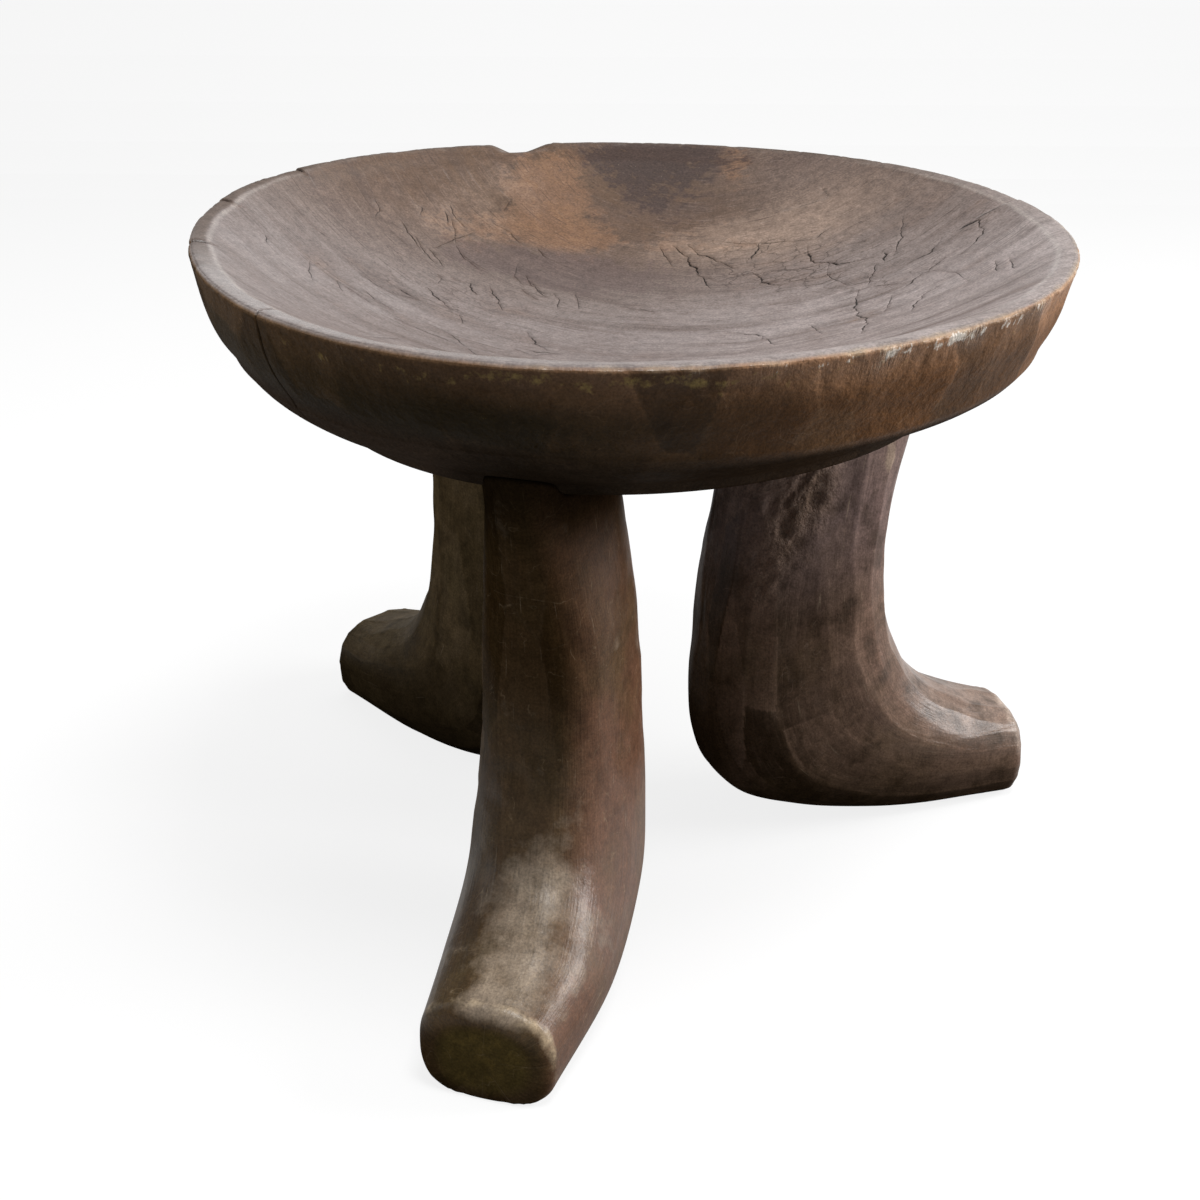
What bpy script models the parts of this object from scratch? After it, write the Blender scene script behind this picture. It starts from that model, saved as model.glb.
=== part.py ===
"""Carved wooden stool: a round dished seat on three boot-shaped legs with turned-out toes.

Metres, +Z up, floor at z = 0. The seat and each leg are separate closed solids.
Each leg ends in a round tenon that stands in a blind socket in the seat's underside.
"""
import bpy
import numpy as np

for old in list(bpy.data.objects):
    bpy.data.objects.remove(old, do_unlink=True)

# Gaps between pieces
GAP = 0.0003

# Seat, all radii before the hand-cut wander of the plan is added
RIM_RADIUS = 0.1965
SEAT_HEIGHT = 0.318
SEAT_DEPTH = 0.080
DISH_DEPTH = 0.048
DISH_CURVE = 2.3
LIP_WIDTH = 0.011
LIP_ROUND = 0.003

# Outside of the seat: how far in from the rim and how far up from the underside its bends lie
WALL_INSET = 0.0041
WALL_DROP = 0.022
RIDGE_INSET = 0.0138
RIDGE_RISE = 0.0372
SHOULDER_INSET = 0.0305
SHOULDER_RISE = 0.024
WAIST_INSET = 0.0495
WAIST_RISE = 0.014
BELLY_INSET = 0.0627
BELLY_RISE = 0.005
FLAT_RADIUS = 0.0707

# Wander of the plan: an oval and a three-lobed part, as fractions of the radius
OVAL = 0.0071
OVAL_TURN = np.radians(36.4)
LOBE = 0.0174
LOBE_TURN = np.radians(3.5)

# The rim rises and falls a little around the seat and isn't quite level; the wall takes up the tip
SWAY = 0.0015
SWAY_TURN = np.radians(5.0)
RIPPLE = 0.0009
RIPPLE_TURN = np.radians(46.0)
LEVEL_X = -0.0147

# Chip out of the back of the rim
CHIP_TURN = np.radians(108.3)
CHIP_WIDTH = 0.036
CHIP_DEPTH = 0.0055

# Legs, in the upright plane through the seat's axis: reach from the axis, height over the floor
LEG_TURNS = {"front_leg": np.radians(-106.0), "right_leg": np.radians(16.2), "left_leg": np.radians(133.2)}
LEG_BITE = 0.024
LEG_TOP = SEAT_HEIGHT - SEAT_DEPTH + LEG_BITE
TOP_REACH = 0.1085
TOP_THICK = 0.106
SHIN_REACH = 0.0905
SHIN_THICK = 0.092
SHIN_HEIGHT = 0.1715
HEEL_REACH = 0.0375
HEEL_HEIGHT = 0.0523
TUCK_DEPTH = 0.0225
TUCK_HEIGHT = 0.0168
BALL_INSET = 0.0833
ANKLE_HEIGHT = 0.111
ANKLE_THICK = 0.0995
ANKLE_LIFT = 0.0065
TOE_REACHES = {"front_leg": 0.2145, "right_leg": 0.2085, "left_leg": 0.211}
TOE_HEIGHT = 0.0465
BEND_OUT = 0.0105
BEND_LIFT = 0.0201
FOOT_OUT = 0.0265
FOOT_HEIGHT = 0.067
KNUCKLE_INSET = 0.0222
KNUCKLE_LIFT = 0.0071
SOLE_CUT = 0.0055
SOLE_SKIM = 0.0006
TOE_ROUND = 0.008

# Widths of a leg across that plane
TOP_WIDTH = 0.043
SHIN_WIDTH = 0.062
ANKLE_WIDTH = 0.0664
BEND_WIDTH = 0.0708
FOOT_WIDTH = 0.073
TOE_WIDTH = 0.062

# Long flats left by the blade around a leg
FLATS = 11
FLAT_CUT = 0.035
SQUARENESS = 2.6

# Tenon and blind socket that hold a leg
TENON_RADIUS = 0.018
TENON_LENGTH = 0.020
TENON_REACH = 0.104
TENON_ROOT = 0.008

# Mesh fineness
SEAT_STEPS = 84
LEG_STEPS = 33
LEG_ROWS = 31
TENON_STEPS = 28


def smooth(points, count):
    """Catmull-Rom curve through the rows of points, ends reflected, count rows out."""
    p = np.asarray(points, float)
    p = np.vstack([2 * p[0] - p[1], p, 2 * p[-1] - p[-2]])
    spans = len(p) - 3
    t = np.linspace(0, spans, count)
    i = np.minimum(t.astype(int), spans - 1)
    u = (t - i)[:, None]
    a, b, c, d = p[i], p[i + 1], p[i + 2], p[i + 3]
    cubic = (3 * b - a - 3 * c + d) * u ** 3
    square = (2 * a - 5 * b + 4 * c - d) * u ** 2
    return 0.5 * (2 * b + (c - a) * u + square + cubic)


def plan(turn):
    """Wander of the seat's plan: 1 + oval cos 2(t - t2) + lobe cos 3(t - t3)."""
    return 1 + OVAL * np.cos(2 * (turn - OVAL_TURN)) + LOBE * np.cos(3 * (turn - LOBE_TURN))


def sway(turn):
    """Rise and fall of the rim: sway cos 2(t - t2) + ripple cos 3(t - t3)."""
    return SWAY * np.cos(2 * (turn - SWAY_TURN)) + RIPPLE * np.cos(3 * (turn - RIPPLE_TURN))


def underside(count):
    """Outside of the seat from the rim down: reach and drop below the rim."""
    ridge = (RIM_RADIUS - RIDGE_INSET, SEAT_DEPTH - RIDGE_RISE)
    wall = [(RIM_RADIUS, LIP_ROUND), (RIM_RADIUS - WALL_INSET, WALL_DROP), ridge]
    belly = [ridge, (RIM_RADIUS - SHOULDER_INSET, SEAT_DEPTH - SHOULDER_RISE),
             (RIM_RADIUS - WAIST_INSET, SEAT_DEPTH - WAIST_RISE),
             (RIM_RADIUS - BELLY_INSET, SEAT_DEPTH - BELLY_RISE), (FLAT_RADIUS, SEAT_DEPTH)]
    return np.vstack([smooth(wall, count // 2)[:-1], smooth(belly, count)])


def turned(profile, turns, chip):
    """Rings of a turned shape: rows (reach, drop) by turns, with the plan's wander and tip."""
    reach = profile[:, :1] * plan(turns)
    x = reach * np.cos(turns)
    y = reach * np.sin(turns)
    away = (turns - CHIP_TURN) * RIM_RADIUS / (CHIP_WIDTH / 2)
    dip = chip[:, None] * CHIP_DEPTH * np.clip(1 - np.abs(away), 0, 1) ** 0.6
    fade = (1 - profile[:, 1:] / SEAT_DEPTH) * profile[:, :1] / RIM_RADIUS
    tip = LEVEL_X * x * np.clip(1 - profile[:, 1:] / (SEAT_DEPTH - RIDGE_RISE), 0, 1)
    z = SEAT_HEIGHT - profile[:, 1:] - dip + fade * sway(turns) + tip
    return np.stack([x, y, z], -1)


def solid_of_rings(rings):
    """Vertices and faces of a closed body: rings joined by quads, both ends closed by a fan."""
    rows, steps = rings.shape[:2]
    verts = np.vstack([rings.reshape(-1, 3), rings[0].mean(0), rings[-1].mean(0)])
    i, j = np.meshgrid(np.arange(rows - 1), np.arange(steps), indexing="ij")
    k = (j + 1) % steps
    quads = np.stack([i * steps + j, (i + 1) * steps + j, (i + 1) * steps + k, i * steps + k], -1)
    s = np.arange(steps)
    first = np.stack([s, (s + 1) % steps, np.full(steps, rows * steps)], -1)
    last = (rows - 1) * steps
    end = np.stack([last + (s + 1) % steps, last + s, np.full(steps, rows * steps + 1)], -1)
    return verts, quads.reshape(-1, 4).tolist() + first.tolist() + end.tolist()


def add_body(name, rings, colour=None):
    """Object with its own material, or a hidden cutting body when no colour is given."""
    verts, faces = solid_of_rings(rings)
    mesh = bpy.data.meshes.new(name)
    mesh.from_pydata(verts.tolist(), [], faces)
    mesh.polygons.foreach_set("use_smooth", np.ones(len(mesh.polygons), bool))
    mesh.update()
    body = bpy.data.objects.new(name, mesh)
    bpy.context.scene.collection.objects.link(body)
    if colour is None:
        body.hide_render = True
        body.display_type = "WIRE"
        return body
    wood = bpy.data.materials.new(name + "_wood")
    wood.use_nodes = True
    shader = wood.node_tree.nodes["Principled BSDF"]
    shader.inputs["Base Color"].default_value = colour + (1.0,)
    shader.inputs["Roughness"].default_value = 0.5
    mesh.materials.append(wood)
    return body


def combine(body, other, operation):
    """Boolean of one body with a cutting body, kept as a live modifier."""
    step = body.modifiers.new(operation.lower() + "_" + other.name, "BOOLEAN")
    step.operation = operation
    step.solver = "EXACT"
    step.object = other


def seat_rings(turns):
    """Seat from the dish's centre over the lip, down the wall and in to the underside's centre."""
    inner = RIM_RADIUS - LIP_WIDTH
    part = np.linspace(0, 1, 10)[1:] ** 0.8
    dish = np.stack([inner * part, LIP_ROUND / 3 + DISH_DEPTH * (1 - part ** DISH_CURVE)], 1)
    bend = np.radians((90.0, 60.0, 30.0))
    edge = np.stack([RIM_RADIUS - LIP_ROUND * (1 - np.cos(bend)), LIP_ROUND * (1 - np.sin(bend))], 1)
    lip = [(inner + LIP_WIDTH / 4, 0.0)]
    outside = underside(12)
    foot = [(FLAT_RADIUS / 2, SEAT_DEPTH)]
    profile = np.vstack([dish, lip, edge, outside, foot])
    chip = np.concatenate([part ** 30, np.ones(1 + len(edge)), np.zeros(len(outside) + 1)])
    chip[len(dish) + 1 + len(edge):][:3] = (0.9, 0.6, 0.25)
    return turned(profile, turns, chip)


def seat_cutter(turns):
    """Room the seat takes, one gap larger below the ridge, closed on top above the rim."""
    outside = underside(12)
    run = np.gradient(outside, axis=0)
    run /= np.linalg.norm(run, axis=1)[:, None]
    grown = outside + GAP * np.stack([run[:, 1], -run[:, 0]], 1)
    lid = [(RIM_RADIUS / 2, -LIP_WIDTH), (RIM_RADIUS + GAP, -LIP_WIDTH)]
    foot = [(FLAT_RADIUS / 2, SEAT_DEPTH + GAP)]
    profile = np.vstack([lid, grown, foot])
    return turned(profile, turns, np.zeros(len(profile)))


def section(turns):
    """Unit section of a leg: a squarish oval cut back to flats by a blade.

    The oval is |c|^n + |s|^n = 1. Each flat is a line at right angles to its own
    direction, set in from the oval by FLAT_CUT, and the nearest line wins.
    """
    power = 2.0 / SQUARENESS
    oval = np.stack([np.sign(np.cos(turns)) * np.abs(np.cos(turns)) ** power,
                     np.sign(np.sin(turns)) * np.abs(np.sin(turns)) ** power], -1)
    faces = 2 * np.pi * (np.arange(FLATS) + 0.5) / FLATS
    normal = np.stack([np.cos(faces), np.sin(faces)], -1)
    fine = np.linspace(0, 2 * np.pi, 361)
    ring = np.stack([np.sign(np.cos(fine)) * np.abs(np.cos(fine)) ** power,
                     np.sign(np.sin(fine)) * np.abs(np.sin(fine)) ** power], -1)
    reach = (ring @ normal.T).max(0) * (1 - FLAT_CUT)
    facing = np.maximum(oval @ normal.T, 1e-6)
    return oval * np.minimum(1.0, (reach / facing).min(1))[:, None]


def leg_rings(turn, bow, toe):
    """Leg from inside the seat down to the toe's rounded end; soles are cut flat on the floor."""
    half = TOP_THICK / 2
    heel = [(TOP_REACH - half, LEG_TOP), (SHIN_REACH - SHIN_THICK / 2, SHIN_HEIGHT),
            (HEEL_REACH, ANKLE_HEIGHT), (HEEL_REACH, HEEL_HEIGHT),
            (HEEL_REACH + TUCK_DEPTH, TUCK_HEIGHT), (toe - BALL_INSET, -SOLE_SKIM),
            (toe, -SOLE_CUT)]
    ankle = HEEL_REACH + ANKLE_THICK
    instep = [(TOP_REACH + half, LEG_TOP), (SHIN_REACH + SHIN_THICK / 2, SHIN_HEIGHT),
              (ankle, ANKLE_HEIGHT + ANKLE_LIFT), (ankle + BEND_OUT, FOOT_HEIGHT + BEND_LIFT),
              (ankle + FOOT_OUT, FOOT_HEIGHT), (toe - KNUCKLE_INSET, TOE_HEIGHT + KNUCKLE_LIFT),
              (toe, TOE_HEIGHT)]
    wide = [TOP_WIDTH, SHIN_WIDTH, ANKLE_WIDTH, BEND_WIDTH, FOOT_WIDTH, FOOT_WIDTH, TOE_WIDTH]
    back = smooth(heel, LEG_ROWS)
    front = smooth(instep, LEG_ROWS)
    width = smooth(np.stack([np.array(wide) / 2, np.array(bow)], 1), LEG_ROWS)
    turns = np.linspace(0, 2 * np.pi, LEG_STEPS, endpoint=False)
    unit = section(turns)
    middle = (back + front) / 2
    depth = (front - back) / 2
    bend = np.radians((25.0, 50.0, 75.0))
    shrink = 1 - (1 - np.cos(bend)) * TOE_ROUND / (TOE_WIDTH / 2)
    shrink = np.concatenate([shrink, shrink[-1:] * 0.5])
    push = TOE_ROUND * np.concatenate([np.sin(bend), [1.02]])
    out = np.stack([depth[-1, 1] * np.ones(4), -depth[-1, 0] * np.ones(4)], 1) / np.linalg.norm(depth[-1])
    middle = np.vstack([middle, middle[-1] + out * push[:, None]])
    depth = np.vstack([depth, depth[-1] * shrink[:, None]])
    width = np.vstack([width, np.stack([width[-1, 0] * shrink, np.full(4, width[-1, 1])], 1)])
    plane = middle[:, None] + depth[:, None] * unit[None, :, :1]
    across = width[:, :1] * unit[None, :, 1] + width[:, 1:]
    x = plane[..., 0] * np.cos(turn) - across * np.sin(turn)
    y = plane[..., 0] * np.sin(turn) + across * np.cos(turn)
    z = np.maximum(plane[..., 1], 0.0)
    return np.stack([x, y, z], -1)[:, ::-1]


def under_height(reach):
    """Height of the seat's underside at a reach from the axis."""
    outside = underside(40)[::-1]
    return SEAT_HEIGHT - np.interp(reach, outside[:, 0], outside[:, 1])


def peg_rings(turn, radius, low, high):
    """Upright round peg standing on a leg's own line."""
    turns = np.linspace(0, 2 * np.pi, TENON_STEPS, endpoint=False)
    x = TENON_REACH * np.cos(turn) + radius * np.cos(turns)
    y = TENON_REACH * np.sin(turn) + radius * np.sin(turns)
    heights = np.array((high, low))
    ones = np.ones((2, 1))
    return np.stack([ones * x, ones * y, heights[:, None] * np.ones(TENON_STEPS)], -1)


# Columns of the seat's rings, closer together across the rim's chip
even = np.linspace(0, 2 * np.pi, SEAT_STEPS, endpoint=False)
chip_half = CHIP_WIDTH / 2 / RIM_RADIUS
close = CHIP_TURN + chip_half * np.linspace(-1, 1, 7)
clear = np.abs(even - CHIP_TURN) > chip_half + np.pi / SEAT_STEPS / 2
turns_of_seat = np.sort(np.concatenate([even[clear], close]))

# Seat
bodies = {"seat_bowl": add_body("seat_bowl", seat_rings(turns_of_seat), (0.12, 0.075, 0.045))}
room = add_body("seat_room", seat_cutter(turns_of_seat))
helpers = [room]

# Sideways bow of each leg at its seven stations
BOWS = {
    "front_leg": 0.001 * np.array((-2.0, -4.0, -4.0, -3.0, 0.0, 4.0, 3.5)),
    "right_leg": np.zeros(7),
    "left_leg": np.zeros(7),
}
TONES = {"front_leg": (0.11, 0.07, 0.04), "right_leg": (0.10, 0.06, 0.04), "left_leg": (0.09, 0.055, 0.035)}

# Legs with their tenons, and the sockets the tenons stand in
for leg_name, leg_turn in LEG_TURNS.items():
    leg = add_body(leg_name, leg_rings(leg_turn, BOWS[leg_name], TOE_REACHES[leg_name]), TONES[leg_name])
    bodies[leg_name] = leg
    root = under_height(TENON_REACH)
    peg = add_body(leg_name + "_tenon",
                   peg_rings(leg_turn, TENON_RADIUS, root - TENON_ROOT, root + TENON_LENGTH))
    hole = add_body(leg_name + "_socket",
                    peg_rings(leg_turn, TENON_RADIUS + GAP, root - 2 * TENON_ROOT, root + TENON_LENGTH + GAP))
    combine(leg, room, "DIFFERENCE")
    combine(leg, peg, "UNION")
    combine(bodies["seat_bowl"], hole, "DIFFERENCE")
    helpers += [peg, hole]

# Put the middle of the whole stool's plan over the origin
spread = np.vstack([np.array([v.co for v in b.data.vertices]) for b in bodies.values()])
shift = -(spread.min(0) + spread.max(0)) / 2
for body in list(bodies.values()) + helpers:
    co = np.empty(len(body.data.vertices) * 3)
    body.data.vertices.foreach_get("co", co)
    co = co.reshape(-1, 3) + np.array((shift[0], shift[1], 0.0))
    body.data.vertices.foreach_set("co", co.ravel())
    body.data.update()
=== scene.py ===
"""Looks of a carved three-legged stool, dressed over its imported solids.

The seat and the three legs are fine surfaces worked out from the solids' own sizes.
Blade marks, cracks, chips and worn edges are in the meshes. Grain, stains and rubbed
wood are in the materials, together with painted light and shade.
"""

import bpy
import numpy as np
from mathutils import Matrix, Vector
from mathutils.geometry import delaunay_2d_cdt


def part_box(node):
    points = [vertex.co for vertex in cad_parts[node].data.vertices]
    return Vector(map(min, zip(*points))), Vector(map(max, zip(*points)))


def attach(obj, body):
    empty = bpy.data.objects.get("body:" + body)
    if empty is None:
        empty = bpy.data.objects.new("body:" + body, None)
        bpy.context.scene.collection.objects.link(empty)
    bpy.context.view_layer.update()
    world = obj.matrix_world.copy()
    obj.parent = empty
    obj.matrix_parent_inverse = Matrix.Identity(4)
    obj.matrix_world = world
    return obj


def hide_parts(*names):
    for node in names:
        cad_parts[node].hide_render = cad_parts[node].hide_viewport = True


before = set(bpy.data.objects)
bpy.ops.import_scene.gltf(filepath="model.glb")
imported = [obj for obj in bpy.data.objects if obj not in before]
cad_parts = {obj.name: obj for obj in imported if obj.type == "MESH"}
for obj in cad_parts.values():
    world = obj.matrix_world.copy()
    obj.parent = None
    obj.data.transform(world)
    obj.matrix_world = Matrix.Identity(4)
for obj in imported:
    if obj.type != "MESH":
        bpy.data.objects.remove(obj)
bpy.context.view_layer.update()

# Seat: a shallow round dish hacked from the end of a thick trunk, so rings and drying cracks
# show in the hollow and the grain stands upright in the outside wall. Old hardwood, rubbed
# grey by sitters and dark with handling outside. It sits on three tenons, hidden in the legs.
RIM_RADIUS = 0.1965
SEAT_HEIGHT = 0.318
SEAT_DEPTH = 0.080
DISH_DEPTH = 0.048
DISH_CURVE = 2.3
LIP_WIDTH = 0.011
LIP_ROUND = 0.003
INNER_RADIUS = RIM_RADIUS - LIP_WIDTH
FLAT_RADIUS = 0.0707
SEAT_TIP = -0.0147
RIDGE_DROP = SEAT_DEPTH - 0.0372
ARRIS_SOFT = 0.00045
HOLLOW_RADIUS = 0.1735
CHIP_TURN = np.radians(108.3)
CHIP_WIDTH = 0.036
CHIP_DEPTH = 0.0055
SEAT_STEPS = 820
DISH_STEP = 0.0027
RINGS_AT = np.array((0.058, 0.235))
RING_ARC = 0.25


def along(points, t):
    """Catmull-Rom curve through rows of points at parameters t, one unit for each span."""
    p = np.asarray(points, float)
    p = np.vstack([2 * p[0] - p[1], p, 2 * p[-1] - p[-2]])
    i = np.clip(np.floor(t).astype(int), 0, len(p) - 4)
    u = (t - i)[..., None]
    a, b, c, d = p[i], p[i + 1], p[i + 2], p[i + 3]
    cubic = (3 * b - a - 3 * c + d) * u ** 3
    square = (2 * a - 5 * b + 4 * c - d) * u ** 2
    return 0.5 * (2 * b + (c - a) * u + square + cubic)


def ease(x):
    """Smooth step from 0 to 1 as x goes from 0 to 1: 3x squared - 2x cubed."""
    x = np.clip(x, 0, 1)
    return x * x * (3 - 2 * x)


def plan(turn):
    """Hand-cut wander of the round plan: 1 + oval cos 2(t - t2) + lobe cos 3(t - t3)."""
    oval = 0.0071 * np.cos(2 * (turn - np.radians(36.4)))
    return 1 + oval + 0.0174 * np.cos(3 * (turn - np.radians(3.5)))


def sway(turn):
    """Rise and fall of the rim: two waves, of two and of three crests round the seat."""
    return 0.0015 * np.cos(2 * (turn - np.radians(5.0))) + 0.0009 * np.cos(3 * (turn - np.radians(46.0)))


def swell(x, y, size, seed):
    """Smooth unevenness about -1 to 1: mean of 14 cosine waves about size long, each with its own heading."""
    rng = np.random.default_rng(seed)
    heading = rng.uniform(0, 2 * np.pi, 14)
    pace = 2 * np.pi / (size * rng.uniform(0.7, 1.6, 14))
    phase = rng.uniform(0, 2 * np.pi, 14)
    run = np.multiply.outer(x, np.cos(heading)) + np.multiply.outer(y, np.sin(heading))
    return np.cos(run * pace + phase).mean(-1) * 2.2


def blade_cuts(u, v, period, length, width, tilt, keen, seed):
    """Marks of a blade over a surface: depth 0 at a crest to 1 amid a stroke, the crests, a tone for each stroke.

    Stroke middles lie on a shaken grid over length u and girth v, v closing on itself.
    With d the distance to the nearest middle in stroke sizes, depth is 1 - d squared / 0.36,
    plus a tilt across the stroke. Strokes meet in a crest, the sharper the keener the blade,
    where the two nearest middles are equally far.
    """
    rng = np.random.default_rng(seed)
    across = max(3, int(round(period / width)))
    steps = int(np.ceil((u.max() - u.min()) / length)) + 3
    cu, cv = np.meshgrid(np.arange(steps) - 1.0, np.arange(across), indexing="ij")
    cu = cu + 0.5 * (cv % 2) + rng.uniform(-0.36, 0.36, cu.shape)
    cv = (cv + rng.uniform(-0.30, 0.30, cv.shape)) * period / across
    cu = (cu * length + u.min()).ravel().astype(np.float32)
    cv = cv.ravel().astype(np.float32)
    tones = rng.uniform(0, 1, cu.shape)
    du = (u.reshape(-1, 1).astype(np.float32) - cu) / length
    dv = np.abs(v.reshape(-1, 1).astype(np.float32) - cv) % period
    dv = np.minimum(dv, period - dv) / width
    square = du ** 2 + dv ** 2
    two = np.partition(square, 1, axis=1)[:, :2]
    share = np.exp(-keen * (square - two[:, :1]))
    depth = 1 - np.clip((two[:, 0] - np.log(share.sum(1)) / keen) / 0.36, 0, 1)
    crest = np.exp(-(np.sqrt(two[:, 1]) - np.sqrt(two[:, 0])) / 0.09)
    tone = tones[square.argmin(1)]
    aside = (v.reshape(-1, 1).astype(np.float32) - cv + period / 2) % period - period / 2
    depth = depth + tilt * (share * np.clip(0.5 - aside / width, 0, 1)).sum(1) / share.sum(1)
    return depth.reshape(u.shape), crest.reshape(u.shape), tone.reshape(u.shape)


def outside_profile():
    """Outside of the seat from the rim's edge down, as rows of reach and drop below the rim."""
    ridge = (RIM_RADIUS - 0.0138, RIDGE_DROP)
    wall = [(RIM_RADIUS, LIP_ROUND), (RIM_RADIUS - 0.0041, 0.022), ridge]
    belly = [ridge, (RIM_RADIUS - 0.0305, SEAT_DEPTH - 0.024), (RIM_RADIUS - 0.0495, SEAT_DEPTH - 0.014),
             (RIM_RADIUS - 0.0627, SEAT_DEPTH - 0.005), (FLAT_RADIUS, SEAT_DEPTH)]
    down = 2 * (1 - np.linspace(1, 0, 24) ** 1.3)
    back = 4 * np.linspace(0, 1, 24) ** 1.3
    return np.vstack([along(wall, down)[:-1], along(belly, back)])


def seat_height(x, turn, reach, drop):
    """Height of a seat point: rim height less drop, with the rim's sway fading down and in, and its tip lost by the ridge."""
    tip = SEAT_TIP * x * np.clip(1 - drop / RIDGE_DROP, 0, 1)
    return SEAT_HEIGHT - drop + (1 - drop / SEAT_DEPTH) * reach / RIM_RADIUS * sway(turn) + tip


def chip_dip(turn):
    """Broken notch in the back of the rim: steeper on its left than on its right, with soft shoulders."""
    away = (turn - CHIP_TURN) * RIM_RADIUS / (CHIP_WIDTH / 2)
    return CHIP_DEPTH * ease(1 - np.abs(away) / np.where(away > 0, 0.85, 1.15)) ** 0.8


def arris_reach(turn):
    """Reach of the worn arris inside the lip: a broad lip in front, a narrow one at the back, cut unevenly."""
    inset = 0.0095 - 0.0042 * ease(np.cos(turn - np.radians(100)))
    return RIM_RADIUS - inset - 0.0006 * (np.sin(7 * turn + 1) + 0.7 * np.sin(13 * turn) + 0.5 * np.sin(29 * turn + 2))


def hollow_drop(reach, turn):
    """Drop of the hollow and lip: bowl depth x (1 - p to the 2.3), p being reach over the inner reach.

    The lip slopes in by a few degrees and meets the bowl in a worn arris; the larger of
    the two drops is taken softly, and the bowl is lifted to meet the lip at the arris.
    """
    arris = arris_reach(turn)
    bowl, at_arris = (LIP_ROUND / 3 + DISH_DEPTH * (1 - (r / INNER_RADIUS) ** DISH_CURVE) for r in (reach, arris))
    lip, lip_arris = (0.0016 * (RIM_RADIUS - LIP_ROUND - r) / LIP_WIDTH for r in (reach, arris))
    lift = (at_arris - lip_arris) * ease((reach - HOLLOW_RADIUS) / (arris - HOLLOW_RADIUS))
    return ARRIS_SOFT * np.logaddexp((bowl - lift) / ARRIS_SOFT, lip / ARRIS_SOFT)


# Cracks of the hollow: width in mm, then the line over the plan in mm from the seat's axis
CRACKS = [
    (0.5, (16, 102), (19, 93), (22, 82)), (1.1, (23, 103), (28, 94), (36, 70), (40, 55)),
    (0.7, (30, 103), (36, 92), (42, 87), (53, 73)), (0.9, (67, 97), (63, 85), (61, 80)),
    (1.0, (61, 68), (65, 58), (69, 50), (75, 47)), (0.5, (108, 75), (117, 73)),
    (1.3, (89, 83), (90, 68), (98, 61), (106, 56), (118, 54)),
    (0.7, (136, 84), (133, 66), (128, 51)), (1.2, (124, 56), (123, 47)), (0.7, (119, 46), (116, 35), (113, 25)),
    (1.0, (108, 21), (105, 5), (104, -9), (107, -26), (101, -50)),
    (0.5, (121, 2), (118, -10), (115, -18)), (0.8, (168, 68), (167, 37), (161, 30), (156, 26)),
    (0.9, (150, 51), (145, 41), (133, 37)), (0.9, (148, 27), (135, 16), (127, 7)),
    (0.9, (142, -6), (135, -10), (130, -17), (125, -31)), (1.8, (176, 55), (170, 54), (158, 52)),
    (0.9, (168, 78), (162, 77)), (0.9, (46, -8), (54, -12), (61, -19), (65, -39)),
    (0.7, (-2, 35), (4, 32), (14, 26)), (0.5, (73, 50), (82, 55), (98, 54)),
    (0.4, (114, 22), (128, 13)), (0.4, (24, 25), (30, 27)), (0.6, (171, -8), (170, -25)),
    (0.6, (166, -1), (164, -17)), (0.5, (149, -51), (156, -61)), (0.5, (83, -14), (86, -32)),
    (0.4, (100, 131), (103, 122), (80, 120)), (0.5, (-166, 7), (-164, -1)),
    (0.5, (-148, 43), (-141, 42)), (0.4, (-133, -5), (-128, -18)), (0.7, (-123, 14), (-114, 7), (-97, 7)),
    (0.8, (-107, 14), (-99, 9)), (0.8, (-95, 26), (-87, 13), (-82, 6)), (0.9, (-84, 46), (-77, 45), (-72, 32)),
    (0.7, (-67, 46), (-62, 31), (-59, 17)), (0.5, (-88, -26), (-78, -34), (-62, -70)),
    (0.5, (-96, 75), (-89, 88), (-79, 101)), (0.4, (-65, 127), (-62, 136)), (0.5, (-46, 96), (-42, 89)),
    (0.7, (-46, -10), (-41, -27), (-35, -39)), (0.5, (-50, -40), (-43, -47)),
    (0.5, (20, -120), (32, -96), (36, -70)), (0.5, (-30, -150), (-22, -128)), (0.5, (90, -120), (84, -98), (88, -80)),
    (0.4, (-110, -90), (-98, -70)), (0.4, (60, -140), (52, -118)),
    (0.9, (171, 82), (164, 79), (157, 77)), (0.7, (101, 95), (94, 89)), (0.5, (43, 104), (56, 98), (68, 95), (96, 87)),
    (0.5, (-128, -9), (-115, -20)), (0.5, (-103, -31), (-87, -40), (-70, -52)), (0.4, (140, 20), (150, 4), (152, -14)),
    (1.4, (-44, -40), (-36, -43), (-29, -42)), (0.8, (-40, -48), (-33, -44)),
    (0.5, (36, 70), (44, 62), (61, 68)), (0.4, (75, 47), (92, 40), (104, 45)), (0.5, (98, 61), (96, 48), (104, 30)),
]


def hairlines():
    """Twenty short drying lines on the left of the hollow: bent a little, each at its own seeded place and heading."""
    rng = np.random.default_rng(19)
    middle = rng.uniform((-150, -20), (-15, 118), (20, 2))
    heading = np.radians(rng.uniform(-85, -38, 20))
    half = rng.uniform(5, 13, 20)[:, None] * np.stack([np.cos(heading), np.sin(heading)], 1)
    bend = rng.uniform(-2.5, 2.5, (20, 2))
    return [(w, a - h, a + b, a + h) for w, a, h, b in zip(rng.uniform(0.4, 0.65, 20), middle, half, bend)]


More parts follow.
